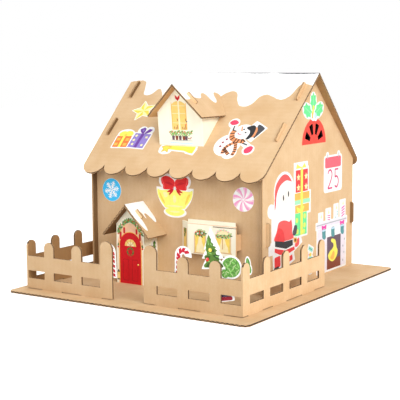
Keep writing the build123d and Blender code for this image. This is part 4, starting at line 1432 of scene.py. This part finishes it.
def dormer_print():
    """The dormer's window and flower box, in millimetres about the foot of its middle."""
    shapes = []
    branches = ((3.0, 24, 6.0), (1.4, 22, 3.4), (3.4, 33, 4.0), (-1.6, 22.5, 4.0))
    for middle, side in ((-7.0, -1), (5.6, 1)):
        shapes.append(("glass", 1, half_arch(middle, 20, 57, 5.3, side)))
        shapes += alike("glass_pale", 2, [box(middle, rise, 10.4, 0.7) for rise in (29, 41, 51)])
        shapes.append(("amber", 2, box(middle + side * 4.6, 38, 1.2, 34)))
        twigs = [oval(middle + aside, rise, 1.8, tall, 10, 12) for aside, rise, tall in branches]
        shapes += alike("wood", 2, twigs)
    shapes += [
        ("glass_pale", 3, box(-0.7, 38, 1.0, 36)),
        ("pale_sky", 1, box(0.4, 3.0, 35, 1.4)),
        ("grey", 1, box(0.4, 6.5, 34, 0.9)),
    ]
    pot = [(-1.7, 7), (1.7, 7), (2.3, 12.5), (-2.3, 12.5)]
    for n, across in enumerate((-11.5, -6.2, -1.0, 4.6, 8.4)):
        shapes.append((("plum", "brick")[n % 2], 2, moved(pot, across, 0)))
    shapes += dots("wine", 3, 0.9, 10, ((12.0, 9.5), (14.0, 9.0), (15.6, 10.5)))
    hedge = [(-17.5, 17), (-9, 16), (0, 17.5), (9, 16), (17.5, 17.5)]
    shapes += foliage(hedge, 4.0, ("hedge", "leaf", "pale_leaf"), 3, 34)
    low_hedge = [(-15, 13.5), (-6, 14.5), (4, 13.5), (14, 14.5)]
    shapes += foliage(low_hedge, 3.2, ("hedge", "leaf_light"), 3, 20)
    flowers = ((-12, 18, "rose"), (-3, 15, "white"), (6, 18, "rose"), (12, 15, "white"), (9, 27, "rose"))
    shapes += blooms(5, 0.9, (*flowers, (10.5, 31, "plum")))
    loop = [(0.0, 57.0), (3.4, 60.5), (3.8, 65.0), (1.2, 63.0), (0.0, 61.6)]
    shapes += alike("cherry", 4, [moved(points, -1.4, 0) for points in pair(loop)])
    shapes.append(("wine", 5, box(-1.4, 60.0, 1.2, 1.6)))
    return shapes


def half_arch(across, foot, top, half, side):
    """One leaf of an arched window, its head falling away from the middle by nine millimetres."""
    head = []
    for n in range(9):
        angle = pi / 2 * n / 8
        head.append((across + side * half * (2 * sin(angle) - 1), top - 9.0 * (1 - cos(angle))))
    return [(across - half, foot), (across + half, foot), *(head if side < 0 else head[::-1])]


def curtain(across, foot, height, width, side):
    """A drawn curtain that falls from the middle to one side."""
    return [
        (across + side * width / 2, foot + height),
        (across - side * width / 2, foot + height),
        (across - side * width * 0.2, foot + height * 0.55),
        (across + side * width * 0.1, foot + height * 0.35),
        (across + side * width * 0.2, foot),
        (across + side * width / 2, foot),
    ]


def bay_window(middle, half, foot, spring):
    """An arched window with a sill, two curtains and the frame beside them."""
    tall = spring - foot
    shapes = [
        ("wood_pale", 1, arch(middle, foot, spring, half)),
        ("glass_pale", 2, arch(middle, foot + 1.0, spring, half - 0.9)),
    ]
    for side in (-1, 1):
        drape = curtain(middle + side * half * 0.53, foot + 1.2, tall, half * 0.75, side)
        shapes.append(("curtain", 3, drape))
        shapes.append(("wood_pale", 4, box(middle + side * half * 0.86, foot + tall / 2, 0.8, tall)))
    shapes.append(("wood_pale", 4, box(middle, foot + 0.2, 2 * half + 2.0, 1.3)))
    return shapes


def bay_print():
    """The bay's windows, in millimetres from the lower left corner of its face."""
    trim = [(41.5, 23.5), (43, 29), (47, 32.2), (52.5, 33.2), (58, 32.2), (62, 29), (63.5, 24)]
    right_swag = [(42, 26.2), (47, 24.6), (52.2, 25.2), (58, 25), (63.5, 27.5)]
    left_swag = [(11.5, 27.5), (15, 24.6), (18.4, 26.4), (22, 24.2), (25.4, 27)]
    left_top = [(14, 28.5), (18.4, 29.6), (23, 28.4)]
    flowers = ((15, 26, "white"), (18.6, 24.6, "cherry"), (21.6, 27, "white"), (18, 28.6, "cherry"))
    return [
        *bay_window(18.4, 8.8, 1.2, 22.5),
        *bay_window(52.5, 11.2, 4.2, 22.0),
        ("wood", 5, box(51.4, 15.5, 0.9, 13)),
        *foliage(trim, 2.4, ("pale_pink", "pale_mint", "peach"), 5, 22),
        *foliage(right_swag, 4.2, ("pale_leaf", "leaf_light", "moss"), 7, 22),
        *foliage(left_swag, 4.6, ("moss", "leaf_dark", "hedge"), 5, 18),
        *foliage(left_top, 4.0, ("leaf_dark", "pale_leaf"), 5, 10),
        *blooms(7, 1.1, flowers),
        ("peach", 1, box(35.25, 37.8, 70, 0.9)),
    ]


def splay_print(width):
    """The bay's splayed end: a small lit window and a sprig."""
    middle = width / 2
    return [
        ("wood", 1, box(middle, 18, width * 0.62, 25)),
        ("glass", 2, box(middle, 18, width * 0.5, 23)),
        ("leaf_dark", 3, oval(middle, 27, width * 0.34, 8.0, 15, 12)),
        ("moss", 3, oval(middle - 1, 22, width * 0.24, 6.0, -25, 12)),
        ("red", 4, disc(middle, 25, 0.8, 10)),
    ]


# Where the prints lie
def print_stickers():
    """The stickers: each one's place on its plane, the size of its print, and its shapes."""
    stickers = {
        "star_ink": (roof_plane(-109.0, 74.5, 18.0), 18.0, star_print()),
        "gifts_ink": (roof_plane(-101.0, 124.5), 56.0, gifts_print()),
        "comet_ink": (roof_plane(-20.0, 140.0), 54.0, comet_print()),
        "snowman_ink": (roof_plane(63.5, 119.0), 70.0, snowman_print()),
        "snowflake_ink": (wall_plane(-117.7, 116.0), 15.3, snowflake_print()),
        "peppermint_ink": (wall_plane(85.0, 116.0), 15.0, peppermint_print()),
        "bell_ink": (wall_plane(-16.5, 113.5), 51.0, bell_print()),
        "holly_ink": (gable_plane(67.0, 224.0), 54.0, holly_print()),
        "calendar_ink": (gable_plane(125.0, 134.0), 50.0, calendar_print()),
        "father_christmas_ink": (gable_plane(-3.0, 85.0), 120.0, father_print()),
        "hearth_ink": (gable_plane(122.5, 49.0), 90.0, hearth_print()),
        "bauble_ink": (gable_plane(61.0, 26.0), 38.0, bauble_print()),
        "sprig_ink": (porch_side_plane(8.5, 38.0), 38.0, sprig_print()),
    }
    for name, (plane, size, shapes) in stickers.items():
        print_paper(name, plane, size, shapes)


def print_cutouts():
    """The cut-outs behind the fence: each one's place, the size of its print, and its shapes."""
    left_post_x = high("left_fence").x - gate_post / 2
    near_picket_x = right_fence_x - picket_gap - picket / 2
    next_picket_x = near_picket_x - picket_gap - picket
    leaf_spot = (right_fence_x - board - glue, right_fence_y + 17.0, base_top + 56.0)
    cutouts = {
        "left_cane_ink": (picket_plane(left_post_x + 4.0, left_fence_y, 48.0), 42.0, cane_print(1)),
        "right_cane_ink": (picket_plane(next_picket_x - 3.0, right_fence_y, 53.0), 42.0, cane_print(-1)),
        "tree_ink": (picket_plane(near_picket_x - 4.0, right_fence_y, 56.0, 5.0), 86.0, tree_print()),
        "sweet_ink": (picket_plane(right_fence_x - 17.5, right_fence_y, 55.0, 0, 1), 27.0, sweet_print()),
        "leaf_ink": (make_plane(leaf_spot, y_way, z_way), 20.0, leaf_print()),
    }
    for name, (plane, size, shapes) in cutouts.items():
        print_paper(name, plane, size, shapes, lift=0.0)


def print_boards():
    """The print on the porch face, the dormer's face, and the bay's face and splayed end."""
    lean_up = (0, -sin(dormer_lean), cos(dormer_lean))
    splay_foot = (bay_left_x - bay_splay, front_wall_y, bay_low_z)
    splay_way = (bay_splay, -bay_depth, 0)
    print_board("door_ink", make_plane((porch_x, porch_front_y, base_top), x_way, z_way), door_print())
    print_board("dormer_window_ink", make_plane(dormer_foot, x_way, lean_up), dormer_print())
    print_board("bay_ink", make_plane((bay_left_x, bay_face_y, bay_low_z), x_way, z_way), bay_print())
    splay_shapes = splay_print(hypot(bay_splay, bay_depth))
    print_board("splay_ink", make_plane(splay_foot, splay_way, z_way), splay_shapes)


# Floor, light and camera, in metres and degrees
white = (1, 1, 1, 1)
floor_reach = 4.0
floor_drop = 0.0004
floor_pale = (0.93, 0.93, 0.93, 1)
floor_shade = (0.91, 0.91, 0.91, 1)
floor_speckle = 60.0  # millimetres
floor_roughness = 0.9
floor_glow = 0.55
sky_strength = 0.54
background_strength = 1.0
lamps = {  # spot, target, size and power
    "key": ((1.6, -1.0, 1.45), (0, 0, 0.1), 1.1, 36),
    "front": ((0.1, -2.2, 0.9), (0, 0, 0.12), 1.4, 15),
    "back": ((-1.1, 1.9, 1.2), (0, 0, 0.12), 1.4, 16),
}
camera_spot = (0.7646, -1.1786, 0.2868)
camera_yaw = 33.44
camera_pitch = 7.31
camera_roll = -0.41
camera_lens = 97.73
sensor_width = 36.0
camera_clip = 0.05


def seen_rays(tree):
    """One for the rays that show the background: the camera's, and those of gloss and glass."""
    path = tree.nodes.new("ShaderNodeLightPath")
    share = path.outputs["Is Camera Ray"]
    for kind in ("Is Glossy Ray", "Is Transmission Ray"):
        node = tree.nodes.new("ShaderNodeMath")
        node.operation = "MAXIMUM"
        tree.links.new(share, node.inputs[0])
        tree.links.new(path.outputs[kind], node.inputs[1])
        share = node.outputs[0]
    return share


def add_floor():
    """A plain pale floor that fades to white for the camera and keeps the shadow."""
    mesh = bpy.data.meshes.new("floor")
    corners = [(u * floor_reach, v * floor_reach, 0) for u, v in ((-1, -1), (1, -1), (1, 1), (-1, 1))]
    mesh.from_pydata(corners, [], [(0, 1, 2, 3)])
    floor = bpy.data.objects.new("floor", mesh)
    floor.location.z = -floor_drop
    bpy.context.scene.collection.objects.link(floor)
    graph = Graph("floor_finish")
    speckle = graph.noise(graph.place, floor_speckle)
    graph.varied("Base Color", graph.mix(speckle, floor_pale, floor_shade))
    graph.even("Roughness", floor_roughness)
    graph.even("Emission Color", white)
    graph.varied("Emission Strength", graph.times(seen_rays(graph.tree), floor_glow))
    mesh.materials.append(graph.material)


def add_world():
    """Even soft light, and a white background for the camera."""
    world = bpy.data.worlds.new("studio")
    bpy.context.scene.world = world
    world.use_nodes = True
    tree = world.node_tree
    sky = tree.nodes["Background"]
    background = tree.nodes.new("ShaderNodeBackground")
    for node, strength in ((sky, sky_strength), (background, background_strength)):
        node.inputs["Color"].default_value = white
        node.inputs["Strength"].default_value = strength
    mix = tree.nodes.new("ShaderNodeMixShader")
    tree.links.new(seen_rays(tree), mix.inputs[0])
    tree.links.new(sky.outputs[0], mix.inputs[1])
    tree.links.new(background.outputs[0], mix.inputs[2])
    tree.links.new(mix.outputs[0], tree.nodes["World Output"].inputs["Surface"])


def add_lamp(name, spot, target, size, power):
    """A soft box that faces a point."""
    data = bpy.data.lights.new(name, "AREA")
    data.shape = "SQUARE"
    data.size = size
    data.energy = power
    lamp = bpy.data.objects.new(name, data)
    lamp.location = spot
    lamp.rotation_euler = (Vector(target) - Vector(spot)).to_track_quat("-Z", "Y").to_euler()
    bpy.context.scene.collection.objects.link(lamp)


def add_camera():
    """The photograph's view."""
    yaw, pitch, roll = radians(camera_yaw), radians(camera_pitch), radians(camera_roll)
    ahead = Vector((-sin(yaw) * cos(pitch), cos(yaw) * cos(pitch), -sin(pitch)))
    level = Vector((cos(yaw), sin(yaw), 0))
    above = level.cross(ahead)
    right = level * cos(roll) + above * sin(roll)
    up = above * cos(roll) - level * sin(roll)
    data = bpy.data.cameras.new("camera")
    data.lens = camera_lens
    data.sensor_width = sensor_width
    data.clip_start = camera_clip
    camera = bpy.data.objects.new("camera", data)
    turn = Matrix((right, up, -ahead)).transposed().to_4x4()
    camera.matrix_world = Matrix.Translation(camera_spot) @ turn
    bpy.context.scene.collection.objects.link(camera)
    bpy.context.scene.camera = camera


finish_board_nodes()
finish_paper_nodes()
print_stickers()
print_cutouts()
print_boards()
add_floor()
add_world()
for name, values in lamps.items():
    add_lamp(name, *values)
add_camera()
bpy.context.scene.view_settings.view_transform = "Standard"
